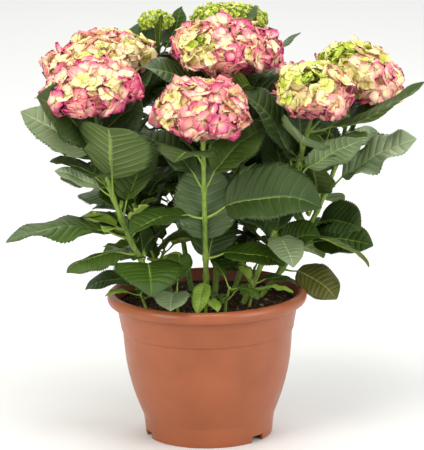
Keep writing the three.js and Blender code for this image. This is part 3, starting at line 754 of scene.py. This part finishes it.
# Peat compost with fine bark: nearly black where damp, with redder fibres and pale straw bits
def compostMaterial(name, dark, light):
    material, tree, shader, place = newMaterial(name, dark, {"IOR": 1.4, "Specular IOR Level": 0.25})
    fibres = addNode(tree, "ShaderNodeTexNoise", grain(5, 6, 0.7), {"Vector": place})
    settings = {"stops": [(0.38, dark), (0.66, light)]}
    browns = addNode(tree, "ShaderNodeValToRGB", settings, {"Fac": fibres.outputs["Fac"]})
    tree.links.new(browns.outputs["Color"], shader.inputs["Base Color"])
    damp = addNode(tree, "ShaderNodeTexNoise", grain(12), {"Vector": place})
    crumble = addNode(tree, "ShaderNodeTexNoise", grain(2, 6, 0.7), {"Vector": place})
    setFinish(tree, shader, crumble.outputs["Fac"], 1.2, 0.8, damp.outputs["Fac"], (0.78, 0.98))
    return material


def makeCompost():
    middle = compost["top"] - compost["depth"] / 2
    bpy.ops.mesh.primitive_cylinder_add(vertices=compost["sides"], radius=compost["radius"] * mm,
                                        depth=compost["depth"] * mm, location=(0, 0, middle * mm))
    piece = bpy.context.object
    selectOnly(piece)
    bpy.ops.object.transform_apply(location=True, rotation=True, scale=True)
    bpy.ops.object.mode_set(mode="EDIT")
    bpy.ops.mesh.select_all(action="DESELECT")
    bpy.ops.mesh.select_mode(type="FACE")
    bpy.ops.object.mode_set(mode="OBJECT")
    for face in piece.data.polygons:
        face.select = face.normal.z > 0.9
    bpy.ops.object.mode_set(mode="EDIT")
    for ring in range(compost["rings"]):
        bpy.ops.mesh.inset(thickness=compost["radius"] / (compost["rings"] + 0.5) * mm)
    bpy.ops.mesh.select_all(action="DESELECT")
    bpy.ops.object.mode_set(mode="OBJECT")
    for corner in piece.data.vertices:
        if corner.co.z < (compost["top"] - compost["narrowBelow"]) * mm:
            corner.co.x *= compost["narrow"]
            corner.co.y *= compost["narrow"]
    group = piece.vertex_groups.new(name="surface")
    reach = (compost["radius"] - compost["margin"]) * mm
    inner = [corner.index for corner in piece.data.vertices
             if corner.co.z > (compost["top"] - 1) * mm and corner.co.xy.length < reach]
    group.add(inner, 1.0, "REPLACE")
    applyModifier(piece, "SUBSURF", {"subdivision_type": "SIMPLE", "levels": 1, "render_levels": 1})
    for cell, height in compost["lumps"]:
        raiseLumps(piece, cell, height, {"direction": "Z", "vertex_group": "surface"})
    piece.data.materials.append(compostMaterial("dampCompost", "#2c2018", "#523c2c"))
    selectOnly(piece)
    bpy.ops.object.shade_smooth()
    finishPiece(piece, "compost_surface", ["compost"])
    return piece


goldenAngle = math.pi * (3 - math.sqrt(5))
eightFaces = chunk([(1, 0, 0), (0, 1, 0), (-1, 0, 0), (0, -1, 0), (0, 0, 1), (0, 0, -1)],
                   [(0, 1, 4), (1, 2, 4), (2, 3, 4), (3, 0, 4), (1, 0, 5), (2, 1, 5), (3, 2, 5), (0, 3, 5)],
                   np.zeros(8, int))

# Crumbs in millimetres, and as shares of their size. Every 29th is a straw bit and every third a bark chip.
crumbs = {
    "count": 1500, "small": 1.0, "large": 4.2, "inset": 3, "stray": 3, "long": 1.3, "longer": 0.8,
    "wide": 0.8, "high": 0.6, "uneven": 0.25, "tip": 0.7, "lift": 0.2, "barkEvery": 3, "strawEvery": 29,
    "colours": {"peatCrumb": ("#33261c", "#5a4433"), "barkChip": ("#43301f", "#7a5a3e"),
                "strawBit": ("#8a7350", "#b39c74")},
}


# Crumbs, bark chips and straw bits that lie on the compost: a squashed eight-faced stone each
def makeCrumbs(surface):
    form = eightFaces["points"]
    chunks = []
    for k in range(crumbs["count"]):
        out = math.sqrt((k + 0.5) / crumbs["count"]) * (compost["radius"] - crumbs["inset"])
        x = out * math.cos(k * goldenAngle) + crumbs["stray"] * vary(k + 6000)
        y = out * math.sin(k * goldenAngle) + crumbs["stray"] * vary(k + 7000)
        hit, place, normal, face = surface.ray_cast(Vector((x * mm, y * mm, 0.25)), Vector((0, 0, -1)))
        if not hit or math.hypot(x, y) > compost["radius"] - compost["margin"]:
            continue
        size = blendTo(crumbs["small"], crumbs["large"], chance(k + 8000) ** 3)
        long = size * (crumbs["long"] + crumbs["longer"] * vary(k + 9000) ** 2)
        shape = form * (long, size * crumbs["wide"], size * crumbs["high"])
        shape = shape * (1 + crumbs["uneven"] * np.sin(form[:, ::-1] * 7 + k))
        tip = Matrix.Rotation(crumbs["tip"] * vary(k + 9500), 3, "X")
        spin = np.array(Matrix.Rotation(math.pi * vary(k + 5000), 3, "Z") @ tip)
        points = shape @ spin.T + np.array(place) / mm + (0, 0, size * crumbs["lift"])
        kind = 2 if k % crumbs["strawEvery"] == 0 else int(k % crumbs["barkEvery"] == 0)
        chunks.append(reshaped(eightFaces, points, kind))
    materials = [compostMaterial(name, *colours) for name, colours in crumbs["colours"].items()]
    piece = joinChunks("compost_crumbs", chunks, materials)
    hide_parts("compost")


makeCrumbs(makeCompost())

print("canes")

caneForm = {
    "steps": 70, "nodeSwell": 0.34, "nodeLength": 4.5, "ridge": 0.5, "ridgeCell": 5, "roundness": 3,
    "merge": 0.02, "smoothAngle": 50,
}
caneFrames = {cane["name"]: caneFrame(cane) for cane in canes}


# A cane: a curve with a round section, swollen where leaves leave it, made a mesh and given its relief
def makeCane(cane, material):
    line = caneFrames[cane["name"]]
    shares = np.linspace(0, 1, caneForm["steps"])
    points = line["point"](shares)
    length = np.linalg.norm(np.diff(points, axis=0), axis=1).sum()
    radii = blendTo(rule["caneFootRadius"], rule["caneTipRadius"], shares)
    for node in cane["nodes"]:
        away = (shares - node) * length / caneForm["nodeLength"]
        radii = radii * (1 + caneForm["nodeSwell"] * np.exp(-away ** 2))
    bpy.ops.curve.primitive_nurbs_path_add()
    piece = bpy.context.object
    piece.data.splines.clear()
    spline = piece.data.splines.new("POLY")
    spline.points.add(len(points) - 1)
    for stop, place, radius in zip(spline.points, points * mm, radii):
        stop.co = (*place, 1)
        stop.radius = radius
    piece.data.bevel_depth = mm
    piece.data.bevel_resolution = caneForm["roundness"]
    piece.data.use_fill_caps = True
    selectOnly(piece)
    bpy.ops.object.convert(target="MESH")
    piece = bpy.context.object
    bpy.ops.object.mode_set(mode="EDIT")
    bpy.ops.mesh.select_all(action="SELECT")
    bpy.ops.mesh.remove_doubles(threshold=caneForm["merge"] * mm)
    bpy.ops.mesh.normals_make_consistent(inside=False)
    bpy.ops.object.mode_set(mode="OBJECT")
    raiseLumps(piece, caneForm["ridgeCell"], caneForm["ridge"], {})
    piece.data.materials.clear()
    piece.data.materials.append(material)
    selectOnly(piece)
    bpy.ops.object.shade_smooth_by_angle(angle=math.radians(caneForm["smoothAngle"]))
    finishPiece(piece, "cane_skin_" + cane["name"], ["cane_" + cane["name"]])


caneSkin = caneMaterial()
for cane in canes:
    makeCane(cane, caneSkin)

print("leaves")

# A leaf blade, flat, as shares of its length and half width. Its rows follow the side veins, which leave the
# midrib and sweep forwards, so a vein is a narrow row that lies low and the skin between two bulges. between
# are the rows from one vein to the next: place, tooth and bulge.
fullBlade = {
    "veins": [0.06, 0.15, 0.25, 0.355, 0.46, 0.565, 0.67, 0.77],
    "veinWidth": 0.011, "across": [0.045, 0.26, 0.52, 0.78, 1.0],
    "between": [(0.3, 0.0, 0.8), (0.52, 0.95, 1.0), (0.76, 0.0, 0.8)],
    "baseRows": [0.012, 0.026, 0.042], "tipRows": [0.85, 0.89, 0.925, 0.955, 0.98],
    "sweep": 0.26, "toothDepth": 0.085, "toothForward": 0.016, "veinDepth": 0.006, "bulge": 0.008,
}
smallBlade = {
    "veins": [0.2, 0.45, 0.68],
    "veinWidth": 0, "across": [0.5, 1.0],
    "between": [(0.5, 0.0, 1.0)],
    "baseRows": [0.05], "tipRows": [0.88],
    "sweep": 0.2, "toothDepth": 0.12, "toothForward": 0.03, "veinDepth": 0.012, "bulge": 0.012,
}

# What both kinds share: the outline's fullness at its base and tip, how it is pinched to a point, how the
# side veins sweep forwards and how full the skin is between them. The midrib's depth is a share of the
# length, and the thickness is in millimetres.
bladeShape = {
    "base": 0.5, "tip": 0.62, "pinchFrom": 0.82, "pinch": 0.45, "sweepFrom": 0.1, "sweepFade": 0.75,
    "sweepCurve": 1.15, "fullness": 0.6,
}
midribDepth = 0.006
bladeThickness = 0.55


# Rows as [share of the midrib, tooth, vein, bulge, shift from the vein's middle]
def bladeRows(form):
    rows = [(share, 0.5, 0.0, 0.3, 0.0) for share in form["baseRows"]]
    veins = form["veins"] + form["tipRows"][:1]
    half = form["veinWidth"] / 2
    for vein, following in zip(veins, veins[1:]):
        for shift in (-half, 0.0, half) if half else (0.0,):
            tooth, depth = (1.0, 1.0) if shift == 0 else (0.8, 0.3)
            rows.append((vein, tooth, depth, 0.0, shift))
        for place, tooth, bulge in form["between"]:
            rows.append((vein + (following - vein) * place, tooth, 0.0, bulge, 0.0))
    rows += [(share, 0.9 * (i % 2 == 0), 0.0, 0.3, 0.0) for i, share in enumerate(form["tipRows"])]
    return np.array(rows)


def bladeTemplate(form):
    rows = bladeRows(form)
    half = form["across"]
    columns = np.array([-u for u in reversed(half)] + [0.0] + half)
    start, tooth, vein, bulge, shift = (rows[:, i][:, None] for i in range(5))
    u = np.abs(columns)[None, :]
    edge = (u >= 1).astype(float)
    sweep = form["sweep"] * np.minimum(1, start / bladeShape["sweepFrom"])
    sweep = sweep * (1 - start) ** bladeShape["sweepFade"] * u ** bladeShape["sweepCurve"]
    share = start + shift * (1 - 0.75 * u) + sweep + edge * tooth * form["toothForward"]
    share = np.minimum(share, 0.999)
    a, b = bladeShape["base"], bladeShape["tip"]
    peak = (a / (a + b)) ** a * (b / (a + b)) ** b
    pinch = np.clip((share - bladeShape["pinchFrom"]) / (1 - bladeShape["pinchFrom"]), 0, 1)
    width = share ** a * (1 - share) ** b / peak * (1 - bladeShape["pinch"] * pinch ** 2)
    x = columns[None, :] * width * (1 - edge * form["toothDepth"] * (1 - tooth))
    swell = np.sin(np.pi * np.minimum(u, 0.97)) ** bladeShape["fullness"] * (u > 0.01)
    lift = form["bulge"] * bulge * swell - form["veinDepth"] * vein * (1 - 0.6 * u) * (u < 1)
    lift = lift - midribDepth * (u < 0.01) * (1 - share)
    rowCount, columnCount = share.shape
    inner = columnCount - 2
    top = np.arange(rowCount * columnCount).reshape(rowCount, columnCount)
    base, tip = top.size, top.size + 1
    under = top.copy()
    under[:, 1:-1] = tip + 1 + np.arange(rowCount * inner).reshape(rowCount, inner)
    flatShare = np.concatenate([share.ravel(), [0.0, 1.0], share[:, 1:-1].ravel()])
    flatX = np.concatenate([x.ravel(), [0.0, 0.0], x[:, 1:-1].ravel()])
    flatLift = np.concatenate([lift.ravel(), [0.0, 0.0], lift[:, 1:-1].ravel()])
    below = np.concatenate([np.zeros(top.size + 2), np.ones(rowCount * inner)])
    faces, kinds = [], []
    for c in range(columnCount - 1):
        farther = max(abs(columns[c]), abs(columns[c + 1]))
        rib, outer = farther < 0.06, farther > 0.9
        for layer, kind in ((top, 0), (under, 2)):
            flip = kind == 2
            for r in range(rowCount - 1):
                face = (layer[r, c], layer[r + 1, c], layer[r + 1, c + 1], layer[r, c + 1])
                sunk = form["veinWidth"] > 0 and max(rows[r, 2], rows[r + 1, 2]) > 0.9
                faces.append(face[::-1] if flip else face)
                kinds.append(kind + (rib or (sunk and not outer)))
            first, last = (base, layer[0, c], layer[0, c + 1]), (tip, layer[-1, c + 1], layer[-1, c])
            faces += [first[::-1], last[::-1]] if flip else [first, last]
            kinds += [kind + rib, kind + rib]
    blade = chunk(np.zeros((len(flatShare), 3)), faces, kinds)
    blade.update({"share": flatShare, "x": flatX, "lift": flatLift, "below": below})
    return blade


fullLeaf, smallLeaf = bladeTemplate(fullBlade), bladeTemplate(smallBlade)

# How leaves differ from each other: width, the fold along the midrib, the curl of the margin, waves along it,
# swells across the blade, the twist and the sideways bend towards the tip, and how far the tip hangs
leafHabit = {
    "wide": 1.06, "fold": 6, "curl": 0.15, "wave": 0.03, "waves": 2.0, "swell": 0.012, "swells": 1.7,
    "twist": 9, "bend": 0.06, "tipHang": 0.07, "hangFrom": 0.72,
}
plainLook = {"wide": 1.0, "fold": 0, "wave": 1.0}


def leafBend(length, share, k):
    return leafHabit["bend"] * vary(k + 660) * length * share ** 2


def leafHang(length, share, k):
    hang = leafHabit["tipHang"] * (1 + vary(k + 650)) * length
    return hang * np.maximum(0, share - leafHabit["hangFrom"]) ** 2 * 6


def bladeChunk(blade, root, leaf, tintName, k, look):
    look = {**plainLook, **look}
    length = leaf[2]
    half = length * rule["leafWidth"] / 2 * leafHabit["wide"] * look["wide"] * (1 + 0.06 * vary(k + 605))
    x, share = blade["x"], blade["share"]
    points, side, normal = leafLine(root, leaf, share, leafHabit["twist"] * vary(k + 600))
    fold = math.radians(rule["leafFold"] + leafHabit["fold"] * vary(k + 610) + look["fold"])
    wave = leafHabit["wave"] * length * (1 + 0.5 * vary(k + 620)) * look["wave"]
    phase = math.pi * vary(k + 630) + np.where(x > 0, 1.7, 0.0)
    waves = leafHabit["waves"] * (1 + 0.3 * vary(k + 635))
    swells = 2 * math.pi * (leafHabit["swells"] * share + 0.6 * x) + 3 * vary(k + 645)
    lift = np.abs(x) * half * math.sin(fold) + blade["lift"] * length
    lift = lift - leafHabit["curl"] * (1 + 0.6 * vary(k + 640)) * half * x ** 2
    lift = lift + wave * np.abs(x) ** 1.5 * np.sin(2 * math.pi * waves * share + phase)
    lift = lift + leafHabit["swell"] * length * np.sin(swells)
    lift = lift - leafHang(length, share, k) - blade["below"] * bladeThickness * min(1, length / 90)
    across = x * half * math.cos(fold) + leafBend(length, share, k)
    place = points + side * across[:, None] + normal * lift[:, None]
    return reshaped(blade, place, leafSlot[tintName])


# Radii in millimetres, from the cane to the blade and along under it
stalkForm = {"rootRadius": 2.2, "radius": 1.35, "ribTip": 0.25, "sides": 6, "sag": 0.05, "ribEnd": 0.9}


# A leaf's stalk, which runs on under the blade as its midrib. A small leaf's has fewer sides and rings.
def stalkChunk(root, leaf, slot, k, small):
    size = min(1, 0.35 + leaf[2] / 140)
    base = leafBase(root, leaf)
    shares = np.linspace(0, 1, 3 if small else 6)[:-1]
    stalk = blendTo(root, base, shares[:, None])
    stalk[:, 2] -= np.sin(shares * math.pi) * np.linalg.norm(base - root) * stalkForm["sag"]
    ribShares = np.linspace(0.0, stalkForm["ribEnd"], 4 if small else 9)
    points, side, normal = leafLine(root, leaf, ribShares, leafHabit["twist"] * vary(k + 600))
    ribRadii = np.linspace(stalkForm["radius"], stalkForm["ribTip"], len(ribShares)) * size
    swells = 2 * math.pi * leafHabit["swells"] * ribShares + 3 * vary(k + 645)
    swell = leafHabit["swell"] * leaf[2] * np.sin(swells)
    below = np.minimum(1, ribShares * 8) * (midribDepth * leaf[2] * (1 - ribShares) + ribRadii * 0.35)
    lift = swell * np.minimum(1, ribShares * 12) - below - leafHang(leaf[2], ribShares, k)
    rib = points + side * leafBend(leaf[2], ribShares, k)[:, None] + normal * lift[:, None]
    stalkRadii = np.linspace(stalkForm["rootRadius"], stalkForm["radius"], len(shares)) * size
    sides = 4 if small else stalkForm["sides"]
    return tube(np.concatenate([stalk, rib]), np.concatenate([stalkRadii, ribRadii]), sides, slot)


# A leaf's blade and its stalk
def leafChunks(blade, root, leaf, tintName, slot, k, look):
    return [bladeChunk(blade, root, leaf, tintName, k, look),
            stalkChunk(root, leaf, slot, k, blade is smallLeaf)]


# Colours of leaves whose colour isn't plain to see: dark greens more often low down, painted sheen only
# higher up
def pickTint(share, k):
    choices = ["deep", "olive", "mid", "deep"] if share < 0.5 else ["deep", "mid", "olive", "greyPaintedSheen", "deep"]
    return choices[min(int(chance(k + 400) * len(choices)), len(choices) - 1)]


# Twigs that leave the axils inside the crown, below a share of the cane's length, each with a few small
# leaves: [share of the twig, turn, pitch, size]. Some other axils have a pair of buds.
twigForm = {
    "below": 0.86, "length": (14, 44), "pitch": 52, "scatter": 32, "sag": 0.06, "blade": (34, 66),
    "radii": np.array([1.2, 1, 0.8]) * 1.4,
    "leaves": [(0.8, 90, 16, 0.8), (0.8, -90, 16, 0.75), (0.97, 8, 6, 1.0), (0.97, 180, 40, 0.65)],
}
budForm = {"below": 0.9, "length": (7, 15), "pitch": 62, "wide": 0.7}
axilGap = 0.01


def twigChunks(start, bearing, k, tintName):
    length = blendTo(*twigForm["length"], chance(k + 520))
    turn = bearing + twigForm["scatter"] * vary(k + 521)
    tip = start + heading(turn, twigForm["pitch"] + 12 * vary(k + 522)) * length
    middle = blendTo(start, tip, 0.5) - (0, 0, twigForm["sag"] * length)
    chunks = [tube([start, middle, tip], twigForm["radii"], 6, stemSlot)]
    size = blendTo(*twigForm["blade"], chance(k + 523))
    for j, (place, side, pitch, share) in enumerate(twigForm["leaves"]):
        leaf = [turn + side, pitch + 10 * vary(k + 530 + j), size * share, 14 * vary(k + 540 + j)]
        root = blendTo(start, tip, place)
        chunks += leafChunks(smallLeaf, root, leaf, tintName, stemSlot, k + 550 + j, {})
    return chunks


def budChunks(start, bearing, k):
    chunks = []
    for turn in (0, 180):
        size = blendTo(*budForm["length"], chance(k + 560 + turn))
        leaf = [bearing + turn, budForm["pitch"], size, 0.0]
        chunks.append(bladeChunk(smallLeaf, start, leaf, "young", k + 570 + turn, {"wide": budForm["wide"]}))
    return chunks


def makeLeaves(first, cane):
    name = cane["name"]
    line = caneFrames[name]
    corners = cornersOf("leaves_" + name)
    chunks, skipped = [], 0
    for pair, share in enumerate(cane["nodes"]):
        root, axil = line["point"](share), line["point"](share + axilGap)
        for side in (0, 1):
            k = first + pair * 2 + side
            leaf, tintName, look = cane["shown"].get((pair, side), (None, None, {}))
            leaf = leaf or ruledLeaf(cane, line["bearing"], pair, side, k)
            bearing = leaf[0]
            leaf = grownLeaf(root, leaf, corners)
            if leaf is None:
                skipped += 1
            else:
                tintName = tintName or pickTint(share, k)
                chunks += leafChunks(fullLeaf, root, leaf, tintName, stalkSlot, k, look)
            if chance(k + 500) < cane["twigs"] and share < twigForm["below"]:
                chunks += twigChunks(axil, bearing, k, "young" if vary(k + 510) > 0.5 else pickTint(0, k + 3))
            elif share < budForm["below"] and vary(k + 505) > 0:
                chunks += budChunks(axil, bearing, k)
    for i, (share, leaf, tintName, look) in enumerate(cane.get("leaning", [])):
        root = line["point"](share)
        chunks += leafChunks(fullLeaf, root, leaf, tintName, stalkSlot, first + 1000 + i, look)
    piece = joinChunks("foliage_" + name, chunks, leafMaterials)
    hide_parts("leaves_" + name)
    return skipped


skippedLeaves = [makeLeaves(i * rule["leavesPerCane"], cane) for i, cane in enumerate(canes)]
print("leaves that the frame skipped:", skippedLeaves)

# A shoot's leaves: [share of its height, turn, pitch, size], with the third always in the shoot's own colour
shootForm = {
    "rings": 9, "sides": 8, "bend": 0.05, "taper": 0.7,
    "leaves": [(0.55, 90, 10, 0.7), (0.55, -90, 10, 0.7), (0.92, 0, -8, 1), (0.92, 180, 34, 0.8)],
}


def makeShoot(i, shoot):
    x, y, height, bearing, length, tintName, wide = shoot
    foot = np.array([x, y, rule["soilTop"] - rule["shootDepth"]], float)
    tip = foot + heading(bearing, rule["shootPitch"]) * height
    name = "shoot_%d" % (i + 1)
    corners = cornersOf(name)
    shares = np.linspace(0, 1, shootForm["rings"])
    bend = np.sin(shares * math.pi)[:, None] * heading(bearing, 0) * -shootForm["bend"] * height
    radii = blendTo(rule["shootRadius"], rule["shootRadius"] * shootForm["taper"], shares)
    chunks = [tube(blendTo(foot, tip, shares[:, None]) + bend, radii, shootForm["sides"], stemSlot)]
    for j, (share, turn, pitch, size) in enumerate(shootForm["leaves"]):
        root = blendTo(foot, tip, share)
        leaf = grownLeaf(root, [bearing + turn, pitch, length * size, 0.0], corners)
        if leaf:
            k = 900 + i * 10 + j
            leafTint = tintName if j == 2 or vary(k) > 0 else "mid"
            chunks += leafChunks(fullLeaf, root, leaf, leafTint, stemSlot, k, {"wide": wide})
    piece = joinChunks("young_" + name, chunks, leafMaterials)
    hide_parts(name)


for i, shoot in enumerate(shoots):
    makeShoot(i, shoot)

print("flower heads")

# One sepal, flat: its rows from the floret's middle to its tip and its half width at each, as shares of its
# length
sepalForm = {
    "rows": [0.04, 0.24, 0.45, 0.66, 0.84, 1.0], "width": [0.08, 0.46, 0.64, 0.54, 0.27, 0.02],
    "across": [-1.0, -0.36, 0.36, 1.0], "thickness": 0.04,
}


def sepalTemplate():
    rows, widths = np.array(sepalForm["rows"]), np.array(sepalForm["width"])
    across = np.array(sepalForm["across"])
    r = np.repeat(rows, len(across))
    v = np.tile(across, len(rows))
    w = v * np.repeat(widths, len(across))
    top = np.arange(len(r)).reshape(len(rows), len(across))
    under = top.copy()
    inner = top[1:-1, 1:-1]
    under[1:-1, 1:-1] = len(r) + np.arange(inner.size).reshape(inner.shape)
    keep = np.concatenate([np.arange(len(r)), inner.ravel()])
    faces, middle, edge = [], [], []
    for layer in (top, under):
        for i in range(len(rows) - 1):
            for j in range(len(across) - 1):
                face = (layer[i, j], layer[i + 1, j], layer[i + 1, j + 1], layer[i, j + 1])
                faces.append(face if layer is top else face[::-1])
                middle.append((rows[i] + rows[i + 1]) / 2)
                edge.append(abs(across[j] + across[j + 1]) / 2)
    form = chunk(np.zeros((len(keep), 3)), faces, np.zeros(len(faces), int))
    below = np.concatenate([np.zeros(len(r)), np.ones(inner.size)])
    form.update({"r": r[keep], "v": v[keep], "w": w[keep], "below": below,
                 "middle": np.array(middle), "edge": np.array(edge)})
    return form


sepal = sepalTemplate()

# Sizes of florets in an open head and in a young, tight one. inner is the share of more florets that sit
# deeper, between the outer ones. ripeSize is a green floret's size and how much a ripe one gains.
openHead = {
    "crowding": 0.023, "floret": 18, "ripeSize": (0.82, 0.26), "cup": 18, "depth": 0.87, "uneven": 0.1,
    "tilt": 0.62, "eye": 1.5, "inner": 0.6, "innerDepth": 0.77,
}
tightHead = {
    "crowding": 0.075, "floret": 7.2, "ripeSize": (1, 0), "cup": 34, "depth": 0.95, "uneven": 0.07,
    "tilt": 0.3, "eye": 1.2, "inner": 0.2, "innerDepth": 0.8,
}
# How the florets are spread over a head, and the branches that carry them: how many go round it, how far out
# and up they reach as shares of its half width and crown, and their radii
headForm = {
    "lowest": -0.72, "flatten": 0.12, "seedStep": 37, "innerTurn": 0.9, "innerGreener": 0.06,
    "greenCup": 1.35, "ripeCup": 0.6, "branches": 6, "branchPitch": 28, "out": 0.46, "up": 0.7, "bow": 0.08,
    "branchRadii": [2.7, 2.3, 1.7, 1.2], "stalkRadii": [0.8, 0.7, 0.6], "stalkBend": 0.55, "stalkSag": 0.1,
}
# A floret's four sepals, as shares of a sepal's length, with angles in degrees. One opposite pair is larger,
# lies above the other and stands up more.
floretForm = {
    "scatter": 0.12, "smallPair": 0.94, "upperCup": 4, "upperLift": 0.05, "reflex": (0.12, 0.20),
    "trough": 0.10, "ripple": 0.08, "wide": 1.04, "tintScatter": 0.08, "dustyAbove": 0.45, "budUpTo": 0.2,
}


def sepalSlots(ripeness, dusty, k):
    value = ripeness * (0.44 + 0.56 * sepal["middle"] ** 1.4 + 0.13 * sepal["edge"])
    value = value + 0.05 * np.sin(sepal["middle"] * 31 + sepal["edge"] * 17 + k)
    slots = np.clip(np.rint(value * (len(sepalTints) - 1)), 0, len(sepalTints) - 1).astype(int)
    if dusty:
        slots = np.where(slots >= dustyFrom, dustySlot + np.clip(slots - dustyFrom, 0, 1), slots)
    return slots


def floretChunks(centre, normal, length, cup, ripeness, k):
    aside = unit(np.cross((0.3, 1, 0.2), normal))
    across = np.cross(normal, aside)
    spin = vary(k + 7) * math.pi
    dusty = vary(k + 11) > floretForm["dustyAbove"]
    r, v = sepal["r"], sepal["v"]
    chunks = []
    for i in range(4):
        upper = i % 2
        turn = spin + i * math.pi / 2 + floretForm["scatter"] * vary(k + 13 * i)
        size = length * (1 + 0.1 * vary(k + 17 * i + 3)) * (1.0 if upper else floretForm["smallPair"])
        pitch = math.radians(cup * (1 + 0.5 * vary(k + 19 * i + 5)) + upper * floretForm["upperCup"])
        out = math.cos(turn) * aside + math.sin(turn) * across
        wide = math.cos(turn) * across - math.sin(turn) * aside
        along = out * math.cos(pitch) + normal * math.sin(pitch)
        above = normal * math.cos(pitch) - out * math.sin(pitch)
        reflex = floretForm["reflex"][0] + floretForm["reflex"][1] * vary(k + 23 * i)
        ripple = floretForm["ripple"] * np.sin(v * 3 + k + i) * r ** 2
        height = floretForm["trough"] * v ** 2 * r - reflex * r ** 2.2 + ripple
        height = height - sepal["below"] * sepalForm["thickness"] + upper * floretForm["upperLift"]
        breadth = sepal["w"] * size * floretForm["wide"]
        points = centre + along * (r * size)[:, None] + wide * breadth[:, None]
        points = points + above * (height * size)[:, None]
        slots = sepalSlots(ripeness + floretForm["tintScatter"] * vary(k + 29 * i), dusty, k + i)
        chunks.append(reshaped(sepal, points, slots))
    return chunks


# How far a floret has turned from lime to pink, from where it faces and how near it is to a green patch
def ripenessOf(cane, normal, direction, deep, k):
    ripe = cane["ripe"]
    # The up term is partly painted light: tops creamier and paler, lower sides pinker
    ripeness = ripe["base"] + ripe["right"] * normal[0] + ripe["up"] * normal[2] - ripe["front"] * normal[1]
    ripeness = ripeness + ripe["spread"] * vary(k + 53) - deep * headForm["innerGreener"]
    for spot in cane.get("limes", []):
        away = np.linalg.norm(direction - unit(np.array(spot[:3]))) / spot[3]
        ripeness -= spot[4] * math.exp(-away ** 2)
    return min(max(ripeness, 0.02), 1.0)


def makeHead(first, cane):
    line = caneFrames[cane["name"]]
    tight = cane.get("tight", False)
    form = tightHead if tight else openHead
    radius, crown, belly = cane["radius"], cane["crown"], cane["belly"]
    turn = np.array(Vector((0, 0, 1)).rotation_difference(Vector(line["axis"])).to_matrix())
    inside = line["head"] - line["axis"] * belly * 0.5
    bearings = np.arange(headForm["branches"]) * 360 / headForm["branches"]
    branches = [heading(bearing, headForm["branchPitch"]) for bearing in bearings] + [np.array([0, 0, 1.0])]
    reach = (radius * headForm["out"], radius * headForm["out"], crown * headForm["up"])
    ends = np.array([inside + turn @ (branch * reach) for branch in branches])
    sepals, stalks = [], []
    for end in ends:
        middle = blendTo(inside, end, 0.5) + line["axis"] * crown * headForm["bow"]
        stalks.append(tube([line["neck"], inside, middle, end], headForm["branchRadii"], 6, pedicelSlot))
    count = round(form["crowding"] * radius ** 2)
    inner = round(count * form["inner"])
    for j in range(count + inner):
        k = first + j * headForm["seedStep"]
        deep = j >= count
        place, among = (j - count, inner) if deep else (j, count)
        even = 1 - ((place + 0.5) / among) * (1 - headForm["lowest"])
        height = even * abs(even) ** headForm["flatten"]
        ring = math.sqrt(1 - height * height)
        angle = place * goldenAngle + deep * headForm["innerTurn"]
        depth = crown if height > 0 else belly
        local = np.array([ring * radius * math.cos(angle), ring * radius * math.sin(angle), height * depth])
        normal = unit(local / (radius ** 2, radius ** 2, depth ** 2))
        shift = np.array([vary(k + 41), vary(k + 43), vary(k + 47)]) * form["tilt"]
        normal = turn @ unit(normal + shift)
        seat = form["innerDepth" if deep else "depth"] + form["uneven"] * (vary(k + 31) - 0.6)
        centre = line["head"] + turn @ (local * seat)
        ripeness = ripenessOf(cane, normal, unit(centre - line["head"]), deep, k)
        green, riper = form["ripeSize"]
        size = form["floret"] * (0.9 + 0.16 * vary(k + 59)) * (green + riper * ripeness)
        cup = form["cup"] * (headForm["greenCup"] - headForm["ripeCup"] * ripeness)
        sepals += floretChunks(centre, normal, size, cup, ripeness, k)
        eye = eightFaces["points"] * form["eye"] + (centre + normal * 0.8)
        sepals.append(reshaped(eightFaces, eye, eyeSlot if ripeness > floretForm["budUpTo"] else budSlot))
        end = ends[np.argmin(np.linalg.norm(ends - centre, axis=1))]
        sag = normal * np.linalg.norm(centre - end) * headForm["stalkSag"]
        bend = blendTo(end, centre, headForm["stalkBend"]) - sag
        stalks.append(tube([end, bend, centre - normal * 0.3], headForm["stalkRadii"], 4, pedicelSlot))
    flowers = joinChunks("sepals_" + cane["name"], sepals, sepalMaterials)
    stems = joinChunks("flower_stalks_" + cane["name"], stalks, sepalMaterials)
    for piece in (flowers, stems):
        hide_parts("bloom_" + cane["name"])
    return count


floretCounts = [makeHead(20000 + 5000 * i, cane) for i, cane in enumerate(canes)]
print("florets:", floretCounts, sum(floretCounts))

shownMeshes = [piece.data for piece in bpy.data.objects if piece.type == "MESH" and not piece.hide_render]
print("triangles:", sum(len(face.vertices) - 2 for mesh in shownMeshes for face in mesh.polygons))
